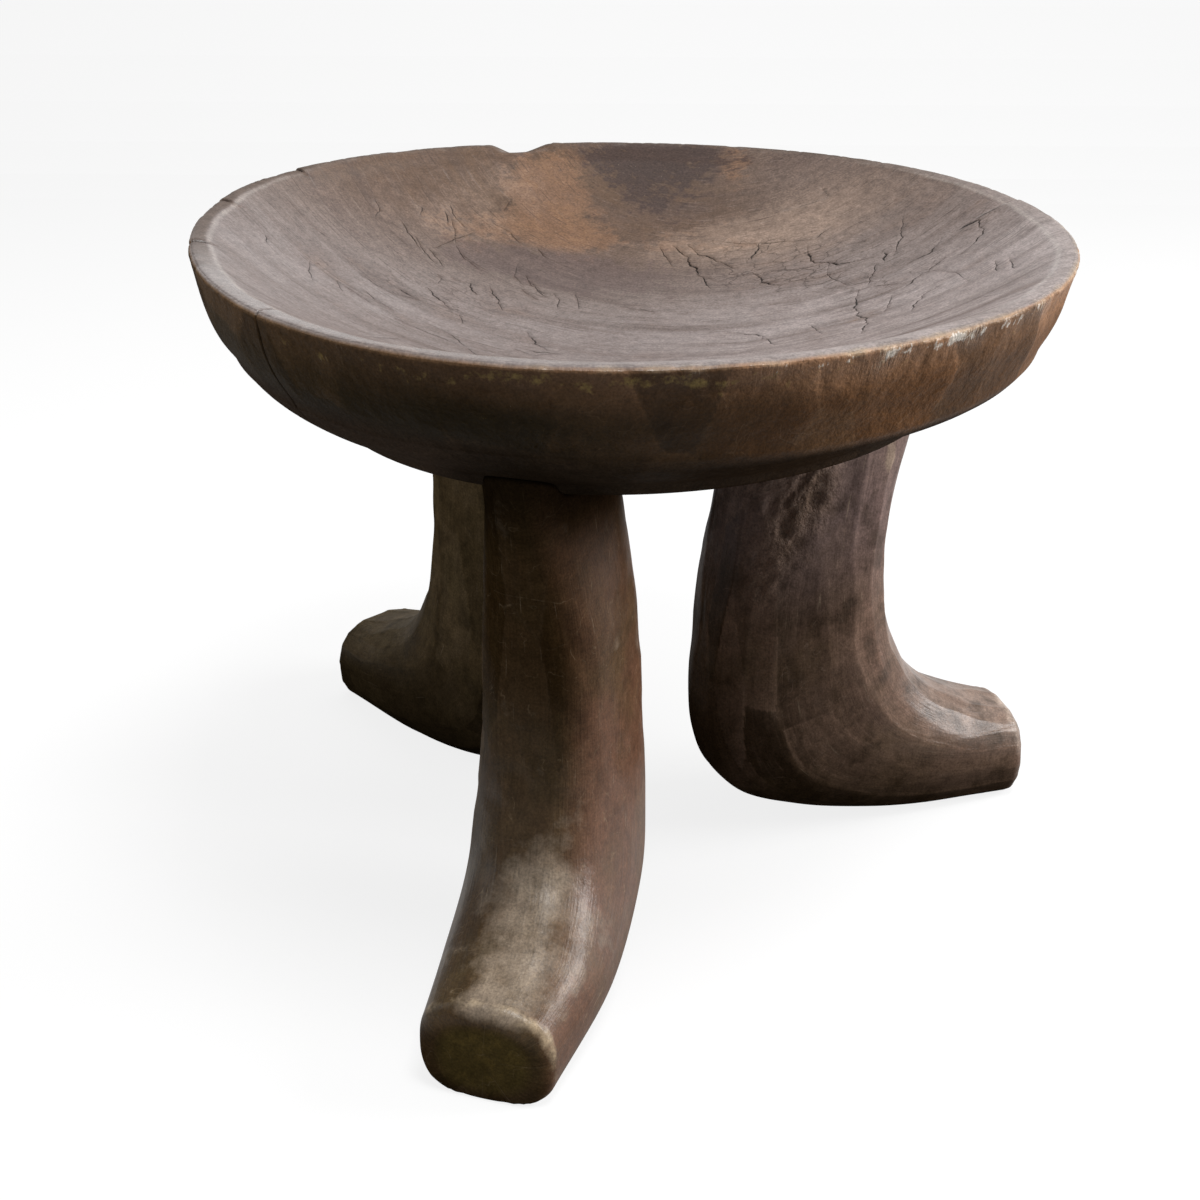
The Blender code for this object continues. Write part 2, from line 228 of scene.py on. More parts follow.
def crack_rows():
    """Points, depth and painted shade of the cracks: jagged lines, with five rows across a V-shaped split.

    Width and depth fall to nothing at both ends as the root of sin(pi s).
    """
    rng = np.random.default_rng(11)
    points, depths, crack_shades = [], [], []
    for width, *line in CRACKS + hairlines():
        line = 0.001 * np.array(line, float)
        spans = np.concatenate([[0], np.cumsum(np.linalg.norm(np.diff(line, axis=0), axis=1))])
        reach = np.linspace(0, spans[-1], max(10, int(spans[-1] / 0.0007)))
        s = reach / spans[-1]
        path = np.stack([np.interp(reach, spans, line[:, 0]), np.interp(reach, spans, line[:, 1])], 1)
        side = np.array((line[0, 1] - line[-1, 1], line[-1, 0] - line[0, 0]))
        side = side / np.linalg.norm(side)
        for wave in (0.013, 0.006, 0.0027):
            shake = np.arcsin(np.sin(2 * np.pi * reach / wave + rng.uniform(0, 6)))
            path = path + side * (0.05 * min(1, 1.3 * width ** 2) * wave * shake * np.sin(np.pi * s))[:, None]
        full = np.sqrt(np.sin(np.pi * np.clip(s, 0.02, 0.98)))
        half = 0.00037 * width * full * (1 + 0.5 * np.sin(reach / 0.0035 + rng.uniform(0, 6)))
        for place, deep, dark in ((-1.6, 0, 0), (-0.6, 0.7, 0.9), (0, 1, 1), (0.6, 0.7, 0.9), (1.6, 0, 0)):
            points.append(path + side * (place * half)[:, None])
            depths.append(0.0006 * deep * full * min(1.3, width))
            crack_shades.append(dark * np.minimum(1, full * 1.6) * min(1, 0.6 + 0.5 * width))
    return np.vstack(points), np.concatenate(depths), np.concatenate(crack_shades)


# Checks that split the rim: turn in degrees, width in mm, how far down the wall and how far in from the edge
# they run in mm, and the step they leave in the rim in mm
CHECKS = [(-135.7, 1.0, 70, 12, 0.0), (149.0, 0.8, 9, 7, 0.9), (171.5, 0.8, 8, 6, 0.8), (18.5, 1.3, 12, 26, 0.8),
          (-166.8, 1.8, 7, 9, 0.6)]


def seat_turns():
    """Turns of the seat's columns: even steps, with close columns across each check."""
    even = np.linspace(0, 2 * np.pi, SEAT_STEPS, endpoint=False)
    at = np.radians([c[0] for c in CHECKS]) % (2 * np.pi)
    wide = np.array([c[1] for c in CHECKS]) * 0.001 / RIM_RADIUS
    clear = (np.abs(even[:, None] - at) > 1.3 * wide).all(1)
    close = (at[:, None] + wide[:, None] * np.array((-1.2, -0.6, -0.3, 0.0, 0.3, 0.6, 1.2))).ravel()
    return np.sort(np.concatenate([even[clear], close % (2 * np.pi)]))


LEG_TURNS = {"front": np.radians(-106.0), "right": np.radians(16.2), "left": np.radians(133.2)}


def beside_legs(x, y, fade):
    """1 on open underside, 0 where a leg's top meets it: distance from each top's long oval, over a fade."""
    free = np.ones_like(x)
    for turn in LEG_TURNS.values():
        out = x * np.cos(turn) + y * np.sin(turn)
        aside = -x * np.sin(turn) + y * np.cos(turn)
        free *= ease((np.hypot((out - 0.1085) / 0.060, aside / 0.029) - 1) / fade)
    return free


def seat_shell(turns):
    """Lip, wall and underside: rows of the outside profile by turns, cut by blade marks, nicks, tears and checks.

    Each cut moves a point along the profile's own inward normal, so the shape only loses wood.
    """
    arris = arris_reach(turns)
    to_arris = 1 - np.linspace(1, 0, 14)[:-1, None] ** 1.6
    to_edge = np.linspace(0, 1, 12)[:-1, None] ** 1.4
    lip_reach = np.vstack([HOLLOW_RADIUS + (arris - HOLLOW_RADIUS) * to_arris,
                           arris + (RIM_RADIUS - LIP_ROUND - arris) * to_edge])
    bend = np.radians(np.linspace(90, 10, 6))
    edge = np.stack([RIM_RADIUS - LIP_ROUND * (1 - np.cos(bend)), LIP_ROUND * (1 - np.sin(bend))], 1)
    flat = np.stack([FLAT_RADIUS * np.array((0.75, 0.5, 0.25)), np.full(3, SEAT_DEPTH)], 1)
    lip = np.stack([lip_reach.mean(1), 0 * lip_reach[:, 0]], 1)
    profile = np.vstack([lip, edge, outside_profile(), flat])
    t = np.broadcast_to(turns, (len(profile), len(turns)))
    drop = np.repeat(profile[:, 1:], len(turns), 1)
    reach = np.repeat(profile[:, :1], len(turns), 1)
    reach[:len(lip)] = lip_reach
    drop[:len(lip)] = hollow_drop(lip_reach, t[:len(lip)])
    past = reach - arris
    past[len(lip):] = 0.05
    run = np.gradient(profile, axis=0)
    run /= np.linalg.norm(run, axis=1)[:, None]
    length = np.concatenate([[0], np.cumsum(np.linalg.norm(np.diff(profile, axis=0), axis=1))])
    over = (length - length[len(lip) + 3])[:, None]
    v = np.broadcast_to(length[:, None], t.shape)
    girth = t * RIM_RADIUS
    outer = slice(len(lip), None)
    depth, crest, tone = np.zeros((3, *t.shape))
    depth[outer], crest[outer], tone[outer] = blade_cuts(v[outer], girth[outer], 2 * np.pi * RIM_RADIUS, 0.058, 0.036, 0.5, 22, 5)
    free = beside_legs(profile[:, :1] * np.cos(t), profile[:, :1] * np.sin(t), 0.25)
    hacked = np.clip(over / 0.010, 0, 1) * free
    cut = 0.0012 * depth * hacked * ease(1 - (over - 0.030) / 0.014) + 0.0001 * (over > -LIP_ROUND)
    blunt = ease(1.6 * np.cos(t + np.radians(125)) - 0.6)
    cut += 0.0022 * np.exp(-((over - RIDGE_DROP) / 0.008) ** 2) * blunt
    hang = ease(2.2 * np.cos(t + np.radians(50)) - 1.1)
    cut -= 0.0020 * np.exp(-((over - 0.051) / 0.007) ** 2) * hang * free
    near_edge = np.exp(-(over / 0.004) ** 2)
    nick = np.clip(swell(girth, 0 * girth, 0.014, 21) - 0.45, 0, 1)
    nick += 0.5 * np.clip(swell(girth, 0 * girth, 0.005, 22) - 0.3, 0, 1)
    cut += 0.0010 * near_edge * nick
    torn = np.clip(swell(girth, v * 0.12, 0.0042, 23), 0, 1)
    cut += 0.0004 * torn * np.exp(-((over - 0.006) / 0.009) ** 2) * (over > 0)
    split = np.zeros_like(cut)
    step = np.zeros(len(turns))
    for degrees, wide, deep, inward, rise in CHECKS:
        gap = (turns - np.radians(degrees) + np.pi) % (2 * np.pi) - np.pi
        across = np.clip(1 - np.abs(gap) * RIM_RADIUS / (0.00075 * wide), 0, 1)
        open_to = np.clip(1.2 * (1 - over / (0.001 * deep)), 0, 1) * np.clip((over + 0.001 * inward) / 0.003, 0, 1)
        split = np.maximum(split, open_to * across)
        step = step + 0.001 * rise * np.exp(-np.clip(gap, 0, None) / 0.10) * (gap > 0)
    cut += 0.0020 * split
    below = np.clip(over, 0, None)
    z_reach = reach
    reach = reach - cut * run[:, 1:]
    drop = drop + cut * run[:, :1] + (step + chip_dip(turns)) * np.exp(-below / 0.012) * ease((past + 0.006) / 0.006)
    x, y = reach * plan(t) * np.cos(t), reach * plan(t) * np.sin(t)
    z = seat_height(x, t, z_reach, drop)
    z -= 0.0004 * np.clip(swell(girth, v, 0.03, 24), 0, 1) * near_edge
    layers = {
        "hollow": np.clip(0.5 - over / 0.0014, 0, 1) + 0 * t,
        "lip": ease((past + 0.001) / 0.003) * np.clip(0.5 - over / 0.004, 0, 1),
        "arris": np.exp(-((past + 0.0004) / 0.0016) ** 2),
        "edge": np.exp(-(over / 0.0025) ** 2) * np.clip(0.75 + 0.35 * swell(girth, v, 0.02, 25), 0, 1),
        "fringe": ease(1 - (over - 0.004 - 0.006 * swell(girth, 0 * v, 0.03, 26)) / 0.009) * (over > -0.002)
        * np.clip(0.5 + 1.1 * swell(girth, 0 * v, 0.036, 29), 0.1, 1),
        "gleam": np.exp(-((over - 0.0035 - 0.002 * swell(girth, 0 * v, 0.02, 30)) / 0.0035) ** 2) + 0 * t,
        "under": ease((over - 0.040 + 0.010 * blunt - 0.0065 * hang) / (0.003 + 0.018 * blunt)),
        # Painted contact shadow with dirt: darker on the underside close round each leg's top
        "nook": (1 - beside_legs(profile[:, :1] * np.cos(t), profile[:, :1] * np.sin(t), 0.5)) * (over > 0.04),
        "mossy": ease(1 - np.abs(over - 0.007 - 0.003 * swell(girth, 0 * v, 0.04, 28)) / 0.007),
        "lower": ease((over - 0.012) / 0.028) + 0 * t,
        "lit upper wall": ease(1 - (over + 0.004 * swell(girth, v, 0.05, 27)) / 0.026) * (over > -0.001),
        "crest": crest * hacked,
        # The open checks get a near-black colour, painted shade in the splits
        "tone": np.where(over > 0, tone, 0.5),
        "crack": split,
    }
    return np.stack([x, y, z], -1), np.stack([v, girth], -1), layers


def swirl(p):
    """Grain of the hollow: arc round the middle of the rings, with its seam to the back, and distance from it."""
    x, y = p[..., 0] - RINGS_AT[0], p[..., 1] - RINGS_AT[1]
    return np.stack([np.arctan2(x, -y) * RING_ARC, np.hypot(x, y)], -1)


def ring_faces(rows, steps):
    """Quads between rings of steps points, the rings closing on themselves, as rows x steps x 4."""
    i, j = np.meshgrid(np.arange(rows - 1), np.arange(steps), indexing="ij")
    k = (j + 1) % steps
    return np.stack([i * steps + j, (i + 1) * steps + j, (i + 1) * steps + k, i * steps + k], -1)


def unwrap(uv, axis, period):
    """Corner coordinates of each face moved by whole periods to lie beside its first corner."""
    jump = uv[..., axis] - uv[..., :1, axis]
    uv[..., axis] -= np.round(jump / period) * period
    return uv


def add_piece(name, points, faces, corners, layers, material):
    """One mesh object at the origin: points, faces, corner grain map in metres, float attributes, material."""
    mesh = bpy.data.meshes.new(name)
    mesh.from_pydata(points.tolist(), [], [f for group in faces for f in group.tolist()])
    mesh.polygons.foreach_set("use_smooth", np.ones(len(mesh.polygons), bool))
    for layer, values in layers.items():
        spot = mesh.attributes.new(layer, "FLOAT", "POINT")
        spot.data.foreach_set("value", np.ascontiguousarray(values, np.float32))
    flat = np.concatenate([c.reshape(-1, 2) for c in corners])
    mesh.uv_layers.new(name="grain").data.foreach_set("uv", flat.astype(np.float32).ravel())
    mesh.materials.append(material)
    mesh.update()
    piece = bpy.data.objects.new(name, mesh)
    bpy.context.scene.collection.objects.link(piece)
    return piece


def ink(code):
    """Linear colour of an sRGB hex value, with alpha 1."""
    c = np.array([int(code[i:i + 2], 16) for i in (1, 3, 5)]) / 255
    c = np.where(c <= 0.04045, c / 12.92, ((c + 0.055) / 1.055) ** 2.4)
    return (*c.tolist(), 1.0)


def node(tree, kind, inputs=None, **settings):
    """Adds a node: settings are its properties, inputs are values or sockets by name or number."""
    made = tree.nodes.new(kind)
    for key, value in settings.items():
        setattr(made, key, value)
    for key, value in (inputs or {}).items():
        if isinstance(value, bpy.types.NodeSocket):
            tree.links.new(value, made.inputs[key])
        else:
            made.inputs[key].default_value = value
    return made


def blobs(x, y, *spots):
    """Soft patches: each spot (x, y, half width, half depth in mm, strength) adds strength x exp(-distance squared)."""
    return sum(s[4] * np.exp(-((x * 1000 - s[0]) / s[2]) ** 2 - ((y * 1000 - s[1]) / s[3]) ** 2) for s in spots)


def seat_wood(names):
    """Old hardwood worn by sitting: grey-brown and dull in the hollow, dark and oily on the hacked outside.

    It gives the eye fine rings in the hollow, upright grain outside, brown-black stains, rubbed
    ochre patches, pale crests between blade marks, a bright rubbed rim that is partly painted
    highlight, and black cracks whose darkness is painted shade. Painted light lifts the wall's
    right side and its top; painted shade darkens the back of the hollow, the front and foot of
    the wall, the underside and the nooks round the legs.
    """
    wood = bpy.data.materials.new("worn hardwood of the seat")
    wood.use_nodes = True
    tree = wood.node_tree
    shader = tree.nodes["Principled BSDF"]
    mask = {n: node(tree, "ShaderNodeAttribute", attribute_name=n).outputs["Fac"] for n in names}
    place = node(tree, "ShaderNodeTexCoord").outputs["Object"]
    grain = node(tree, "ShaderNodeUVMap", uv_map="grain").outputs["UV"]
    wander = node(tree, "ShaderNodeTexNoise", {"Vector": place, "Scale": 1000 / 60, "Detail": 2.0}).outputs["Color"]
    wander = node(tree, "ShaderNodeVectorMath", {0: wander, 1: (0.5, 0.5, 0.5)}, operation="SUBTRACT").outputs[0]
    grain = node(tree, "ShaderNodeVectorMath", {0: wander, 1: (0.012, 0.009, 0.0), 2: grain},
                 operation="MULTIPLY_ADD").outputs[0]
    noise = {}
    # Noise fields by size in mm, along the grain and across it
    for name, coords, long, wide, detail in (("cloud", place, 42, 42, 6), ("blotch", place, 9, 9, 4),
                                             ("pores", place, 1.5, 1.5, 2), ("streak", grain, 130, 15, 4),
                                             ("hair", grain, 34, 1.5, 3), ("tear", grain, 9, 1.1, 4),
                                             ("scratch", grain, 38, 0.9, 1), ("grit", place, 1.1, 1.1, 3),
                                             ("mottle", place, 5, 5, 5)):
        size = node(tree, "ShaderNodeVectorMath", {0: coords, 1: (1000 / long, 1000 / wide, 1000 / wide)},
                    operation="MULTIPLY").outputs[0]
        noise[name] = node(tree, "ShaderNodeTexNoise", {"Vector": size, "Scale": 1.0, "Detail": detail,
                                                        "Roughness": 0.6}).outputs["Fac"]
    # Fine crazing: cells about 20 by 7 mm along the grain, seen as hairlines
    craze_at = node(tree, "ShaderNodeVectorMath", {0: grain, 1: (1000 / 20, 1000 / 7, 1.0)}, operation="MULTIPLY").outputs[0]
    bent = node(tree, "ShaderNodeVectorMath", {0: node(tree, "ShaderNodeTexNoise", {"Vector": craze_at, "Scale": 1.1,
                "Detail": 2.0}).outputs["Color"], 1: craze_at}, operation="ADD").outputs[0]
    cell = node(tree, "ShaderNodeTexVoronoi", {"Vector": bent, "Scale": 1.0}, feature="DISTANCE_TO_EDGE").outputs["Distance"]
    # Scuffs: thin swerving lines where a noise of 26 mm passes its middle
    swerve = node(tree, "ShaderNodeTexNoise", {"Vector": place, "Scale": 1000 / 26, "Detail": 2.0, "Distortion": 1.2}).outputs["Fac"]
    swerve = node(tree, "ShaderNodeMath", {0: swerve, 1: 0.5}, operation="SUBTRACT").outputs[0]
    swerve = node(tree, "ShaderNodeMath", {0: swerve}, operation="ABSOLUTE").outputs[0]
    # Masks: an attribute stirred by noises, then cut between two levels
    for name, base, stirs, low, high in (
            ("ochre patch", "ochre", (("cloud", 1.3), ("mottle", 0.9), ("streak", 0.9), ("blotch", 0.9)), 0.42, 0.86),
            ("stain patch", "stain", (("cloud", 1.2), ("streak", 0.5), ("mottle", 1.5), ("hair", 0.5)), 0.40, 0.70),
            ("lit lip", "lip", (("blotch", 0.9),), 0.2, 1.2), ("rubbed arris and highlight", "arris", (("blotch", 1.4),), 0.4, 1.3),
            ("rubbed lit edge", "edge", (("blotch", 1.2),), 0.35, 1.1), ("torn fringe", "fringe", (("tear", 3.4),), 0.95, 1.4),
            # Pale torn fibres under the rim, strengthened as a painted highlight
            ("pale fibre and highlight", "fringe", (("tear", -3.4), ("blotch", 1.5)), 0.95, 1.5),
            ("rubbed crest", "crest", (("blotch", 1.0),), 0.5, 1.3), ("ruddy lit side", "ruddy", (("cloud", 0.9),), 0.1, 0.95),
            ("mossy front", "mossy", (("mottle", 3.4), ("blotch", 2.0)), 0.85, 1.5),
            ("purple patch", "purple", (("cloud", 1.3), ("streak", 0.7), ("mottle", 1.2), ("blotch", 0.8)), 0.46, 0.72),
            ("crazed", "crazing", (("cloud", 2.0),), 0.45, 0.90),
            ("dark mottle", "ochre", (("blotch", 3.2), ("mottle", 2.6), ("streak", 1.0)), 0.62, 1.10),
            ("glint", "gleam", (("mottle", 3.2), ("tear", 1.5)), 0.90, 1.20),
            ("tan patch", "tan", (("cloud", 1.2), ("mottle", 0.4), ("streak", 0.9)), 0.15, 1.0),
            ("pale facet", "tone", (("cloud", 0.9), ("blotch", 0.5)), 0.55, 1.05),
            ("dark facet", "tone", (("cloud", 0.9), ("blotch", 0.5)), 0.45, -0.05)):
        value = mask[base]
        for stir, much in stirs:
            centred = node(tree, "ShaderNodeMath", {0: noise[stir], 1: 0.5}, operation="SUBTRACT").outputs[0]
            value = node(tree, "ShaderNodeMath", {0: centred, 1: much, 2: value}, operation="MULTIPLY_ADD").outputs[0]
        mask[name] = node(tree, "ShaderNodeMapRange", {0: value, 1: low, 2: high}).outputs[0]
    for name, source, low, high in (("dark hair", noise["hair"], 0.52, 0.78), ("pale hair", noise["hair"], 0.42, 0.20),
                                    ("fleck", noise["pores"], 0.70, 0.80), ("pit", noise["tear"], 0.54, 0.66),
                                    ("shade", noise["streak"], 0.46, 0.72), ("wash", noise["cloud"], 0.45, 0.70),
                                    ("craze line", cell, 0.040, 0.0),
                                    ("scored", noise["scratch"], 0.62, 0.73), ("scuff line", swerve, 0.009, 0.0),
                                    ("scuffed", noise["blotch"], 0.46, 0.58)):
        mask[name] = node(tree, "ShaderNodeMapRange", {0: source, 1: low, 2: high}).outputs[0]
    craze = node(tree, "ShaderNodeMath", {0: mask["craze line"], 1: mask["crazed"]}, operation="MULTIPLY").outputs[0]
    craze = node(tree, "ShaderNodeMath", {0: craze, 1: 0.75}, operation="MULTIPLY").outputs[0]
    mask["scuff"] = node(tree, "ShaderNodeMath", {0: mask["scuff line"], 1: mask["scuffed"]}, operation="MULTIPLY").outputs[0]
    mask["scuff"] = node(tree, "ShaderNodeMath", {0: mask["scuff"], 1: mask["scuffs"]}, operation="MULTIPLY").outputs[0]
    # Coats of the hollow, then of the outside: a colour, the mask it goes on by, and how strongly
    finished = []
    for start, coats in (
            ("#7f7572", (("#a09592", "bright", 0.8), ("#594331", "back", 0.9), ("#544640", "shade", 0.70),
                         ("#968c88", "pale hair", 0.25), ("#685852", "wash", 0.40), ("#8e6a4e", "ochre patch", 0.60), ("#a08a7a", "tan patch", 0.55),
                         ("#4d3c34", "dark mottle", 0.34),
                         ("#574946", "purple patch", 0.58), ("#3d312e", "stain patch", 0.85), ("#453a35", "dark hair", 0.32),
                         ("#43362f", "scored", 0.6), ("#8c837f", "lit lip", 0.40), ("#51443b", "shaded lip", 0.68), ("#b0a69d", "rubbed arris and highlight", 0.40),
                         ("#c4b199", "fleck", 0.30), ("#8f7a5c", "rubbed lit edge", 0.6), ("#120c08", "crack", 1.0))),
            ("#584529", (("#372a12", "shade", 0.40), ("#6a5437", "pale hair", 0.08), ("#3e321b", "wash", 0.55),
                         ("#805634", "ruddy lit side", 0.88), ("#271e08", "front", 0.90), ("#2d2212", "lower", 0.45), ("#b98f70", "lit upper wall", 0.68),
                         ("#8d6c4d", "pale facet", 0.36), ("#2b1f10", "dark facet", 0.55),
                         ("#241a0e", "dark hair", 0.10), ("#8a7259", "rubbed crest", 0.12), ("#a5876a", "scuff", 0.3),
                         ("#a8915a", "mossy front", 0.7), ("#150d07", "torn fringe", 0.65), ("#d6c6b0", "pale fibre and highlight", 0.60), ("#bfa588", "rubbed lit edge", 0.75), ("#efe7dc", "glint", 0.75),
                         ("#3c3229", "under", 0.85), ("#5c4c40", "under left", 0.6), ("#1e170f", "under right", 0.22), ("#1c150c", "nook", 0.55), ("#0d0906", "crack", 1.0)))):
        colour = ink(start)
        for tint, name, much in coats:
            by = node(tree, "ShaderNodeMath", {0: mask[name], 1: much}, operation="MULTIPLY").outputs[0]
            colour = node(tree, "ShaderNodeMix", {0: by, 6: colour, 7: ink(tint)}, data_type="RGBA").outputs[2]
        finished.append(colour)
    dish = node(tree, "ShaderNodeMix", {0: craze, 6: finished[0], 7: ink("#3b302a")}, data_type="RGBA").outputs[2]
    both = node(tree, "ShaderNodeMix", {0: mask["hollow"], 6: finished[1], 7: dish}, data_type="RGBA").outputs[2]
    # Fine unevenness of the tone all over
    for field, low, high in (("grit", 0.74, 1.26), ("mottle", 0.82, 1.18)):
        tone = node(tree, "ShaderNodeMapRange", {0: noise[field], 1: 0.3, 2: 0.7, 3: low, 4: high}).outputs[0]
        both = node(tree, "ShaderNodeVectorMath", {0: both, 1: tone}, operation="MULTIPLY").outputs[0]
    tree.links.new(both, shader.inputs["Base Color"])
    # Gloss: duller in the hollow, brightest where the rim is rubbed
    dull = node(tree, "ShaderNodeMapRange", {0: noise["blotch"], 1: 0.3, 2: 0.7, 3: 0.40, 4: 0.60}).outputs[0]
    bright = node(tree, "ShaderNodeMix", {0: mask["rubbed lit edge"], 2: dull, 3: 0.26}).outputs[0]
    bright = node(tree, "ShaderNodeMix", {0: mask["under"], 2: bright, 3: 0.8}).outputs[0]
    tree.links.new(bright, shader.inputs["Roughness"])
    shader.inputs["Specular IOR Level"].default_value = 0.0
    # Polish from hands and clothes: on the rim, the lip and the sunlit side of the wall
    polish = node(tree, "ShaderNodeMath", {0: mask["rubbed lit edge"], 1: 0.9, 2: mask["sheen"]}, operation="MULTIPLY_ADD").outputs[0]
    tree.links.new(polish, shader.inputs["Coat Weight"])
    shader.inputs["Coat Roughness"].default_value = 0.27
    # Relief in mm: hair lines, pores, torn fringe, crazing, and lumps outside
    combed = node(tree, "ShaderNodeMapRange", {0: mask["hollow"], 3: 0.03, 4: 0.16}).outputs[0]
    rough = node(tree, "ShaderNodeMath", {0: noise["pores"], 1: 0.07}, operation="MULTIPLY").outputs[0]
    rough = node(tree, "ShaderNodeMath", {0: noise["hair"], 1: combed, 2: rough}, operation="MULTIPLY_ADD").outputs[0]
    torn = node(tree, "ShaderNodeMath", {0: mask["fringe"], 1: noise["tear"]}, operation="MULTIPLY").outputs[0]
    relief = node(tree, "ShaderNodeMath", {0: torn, 1: 0.9, 2: rough}, operation="MULTIPLY_ADD").outputs[0]
    outside = node(tree, "ShaderNodeMath", {0: 1.0, 1: mask["hollow"]}, operation="SUBTRACT").outputs[0]
    for field, high in (("blotch", 1.5), ("mottle", 0.6)):
        lump = node(tree, "ShaderNodeMath", {0: noise[field], 1: outside}, operation="MULTIPLY").outputs[0]
        relief = node(tree, "ShaderNodeMath", {0: lump, 1: high, 2: relief}, operation="MULTIPLY_ADD").outputs[0]
    relief = node(tree, "ShaderNodeMath", {0: craze, 1: -0.12, 2: relief}, operation="MULTIPLY_ADD").outputs[0]
    bump = node(tree, "ShaderNodeBump", {"Strength": 1.0, "Distance": 0.001, "Height": relief})
    tree.links.new(bump.outputs[0], shader.inputs["Normal"])
    tree.links.new(bump.outputs[0], shader.inputs["Coat Normal"])
    return wood


# Shell of the seat, then its hollow: points spread evenly over the plan, thinned along the crack rows
columns = seat_turns()
shell, shell_grain, shell_layers = seat_shell(columns)
rows, steps = shell.shape[:2]
cracks, crack_depth, crack_shade = crack_rows()
line = np.arange(-0.19, 0.19, DISH_STEP)
gx, gy = np.meshgrid(line, line * 0.866)
gx = gx + 0.5 * DISH_STEP * (np.arange(len(line)) % 2)[:, None]
spread = np.stack([gx, gy], -1).reshape(-1, 2)
spread = spread + np.random.default_rng(7).uniform(-0.0004, 0.0004, spread.shape)


def within(p, margin):
    """True where a plan point lies inside the hollow's ring by a margin."""
    return np.hypot(p[:, 0], p[:, 1]) < HOLLOW_RADIUS * plan(np.arctan2(p[:, 1], p[:, 0])) - margin


keep = within(cracks, 0.0008)
cracks, crack_depth, crack_shade = cracks[keep], crack_depth[keep], crack_shade[keep]
TAKEN_CELL = 0.0016
half_cells = int(0.2 / TAKEN_CELL)
taken = np.zeros((2 * half_cells, 2 * half_cells), bool)
taken[tuple((np.round(cracks / TAKEN_CELL).astype(int) + half_cells).T)] = True
spread = spread[within(spread, 0.0016)]
spread = spread[~taken[tuple((np.round(spread / TAKEN_CELL).astype(int) + half_cells).T)]]
flat_points = np.vstack([shell[0, :, :2], cracks, spread])
ring_edges = np.stack([np.arange(steps), (np.arange(steps) + 1) % steps], 1)
plan_points, _, dish_faces, sources, _, _ = delaunay_2d_cdt(flat_points.tolist(), ring_edges.tolist(), [], 1, 1e-7)
plan_points = np.array(plan_points)
dish_faces = np.array(dish_faces)
source = np.array([s[0] for s in sources])
on_ring = source < steps
sunk = np.concatenate([np.zeros(steps), crack_depth, np.zeros(len(spread))])[source]
dark = np.concatenate([np.zeros(steps), crack_shade, np.zeros(len(spread))])[source]
dish_turn = np.arctan2(plan_points[:, 1], plan_points[:, 0]) % (2 * np.pi)
dish_reach = np.hypot(*plan_points.T) / plan(dish_turn)
dish_drop = hollow_drop(dish_reach, dish_turn)
dish_z = seat_height(plan_points[:, 0], dish_turn, dish_reach, dish_drop) - sunk
dish_z += 0.0004 * swell(*plan_points.T, 0.045, 3) * ease((HOLLOW_RADIUS - dish_reach) / 0.02)
dish = np.column_stack([plan_points, dish_z])
middle = rows * steps
number = np.where(on_ring, source, middle + np.cumsum(~on_ring))
points = np.vstack([shell.reshape(-1, 3), [[0.0, 0.0, SEAT_HEIGHT - SEAT_DEPTH]], dish[~on_ring]])
quads = ring_faces(rows, steps)
last = (rows - 1) * steps + np.arange(steps)
closing = np.stack([np.roll(last, -1), last, np.full(steps, middle)], -1)
dish_faces = number[dish_faces]
shell_corner = unwrap(shell_grain.reshape(-1, 2)[quads], 1, 2 * np.pi * RIM_RADIUS)
lip_quads = shell_layers["hollow"][:-1, 0] > 0.5
shell_corner[lip_quads] = unwrap(swirl(points[quads[lip_quads]]), 0, 2 * np.pi * RING_ARC)
close_corner = np.zeros((steps, 3, 2))
dish_corner = unwrap(swirl(points[dish_faces]), 0, 2 * np.pi * RING_ARC)
inside = len(points) - middle - 1
px, py = points[:, 0], points[:, 1]
turn_of = np.arctan2(py, px)
filler = {"hollow": 1.0, "under": 0.0, "tone": 0.5}
seat_layers = {n: np.concatenate([v.ravel(), [0.0], np.full(inside, filler.get(n, 0.0))]) for n, v in shell_layers.items()}
# The cracks' near-black colour is painted shade in the splits
seat_layers["crack"][middle + 1:] = dark[~on_ring]
seat_layers["ochre"] = blobs(px, py, (-38, 165, 22, 26, 0.9), (-44, 135, 28, 26, 0.7), (-36, 110, 44, 16, 0.75), (-85, 92, 24, 20, 0.4),
                             (56, 165, 12, 26, 0.75), (45, 102, 40, 20, 0.45), (-100, 150, 40, 30, 0.15))
seat_layers["tan"] = blobs(px, py, (92, 104, 46, 30, 0.85), (-92, 100, 34, 34, 0.3), (40, 100, 40, 18, 0.6), (-72, 140, 24, 30, 0.35))
seat_layers["stain"] = blobs(px, py, (15, 160, 42, 25, 0.85), (8, 182, 46, 14, 0.7), (95, 168, 30, 14, 0.45), (30, 122, 34, 14, 0.22),
                             (92, 92, 26, 14, 0.25), (100, 60, 60, 12, 0.18))
seat_layers["purple"] = blobs(px, py, (-62, 78, 40, 20, 0.95), (-20, 70, 44, 24, 0.6), (12, 62, 44, 30, 0.4))
seat_layers["crazing"] = blobs(px, py, (110, 40, 75, 75, 0.75), (50, 85, 50, 30, 0.5), (-95, 10, 60, 50, 0.5), (-115, 70, 45, 50, 0.5)) * seat_layers["hollow"]
# Painted shade: the hollow darkens towards its back, less so to the right
seat_layers["back"] = ease((py + 0.02) / 0.16) * (1 - 0.3 * ease((px - 0.02) / 0.08))
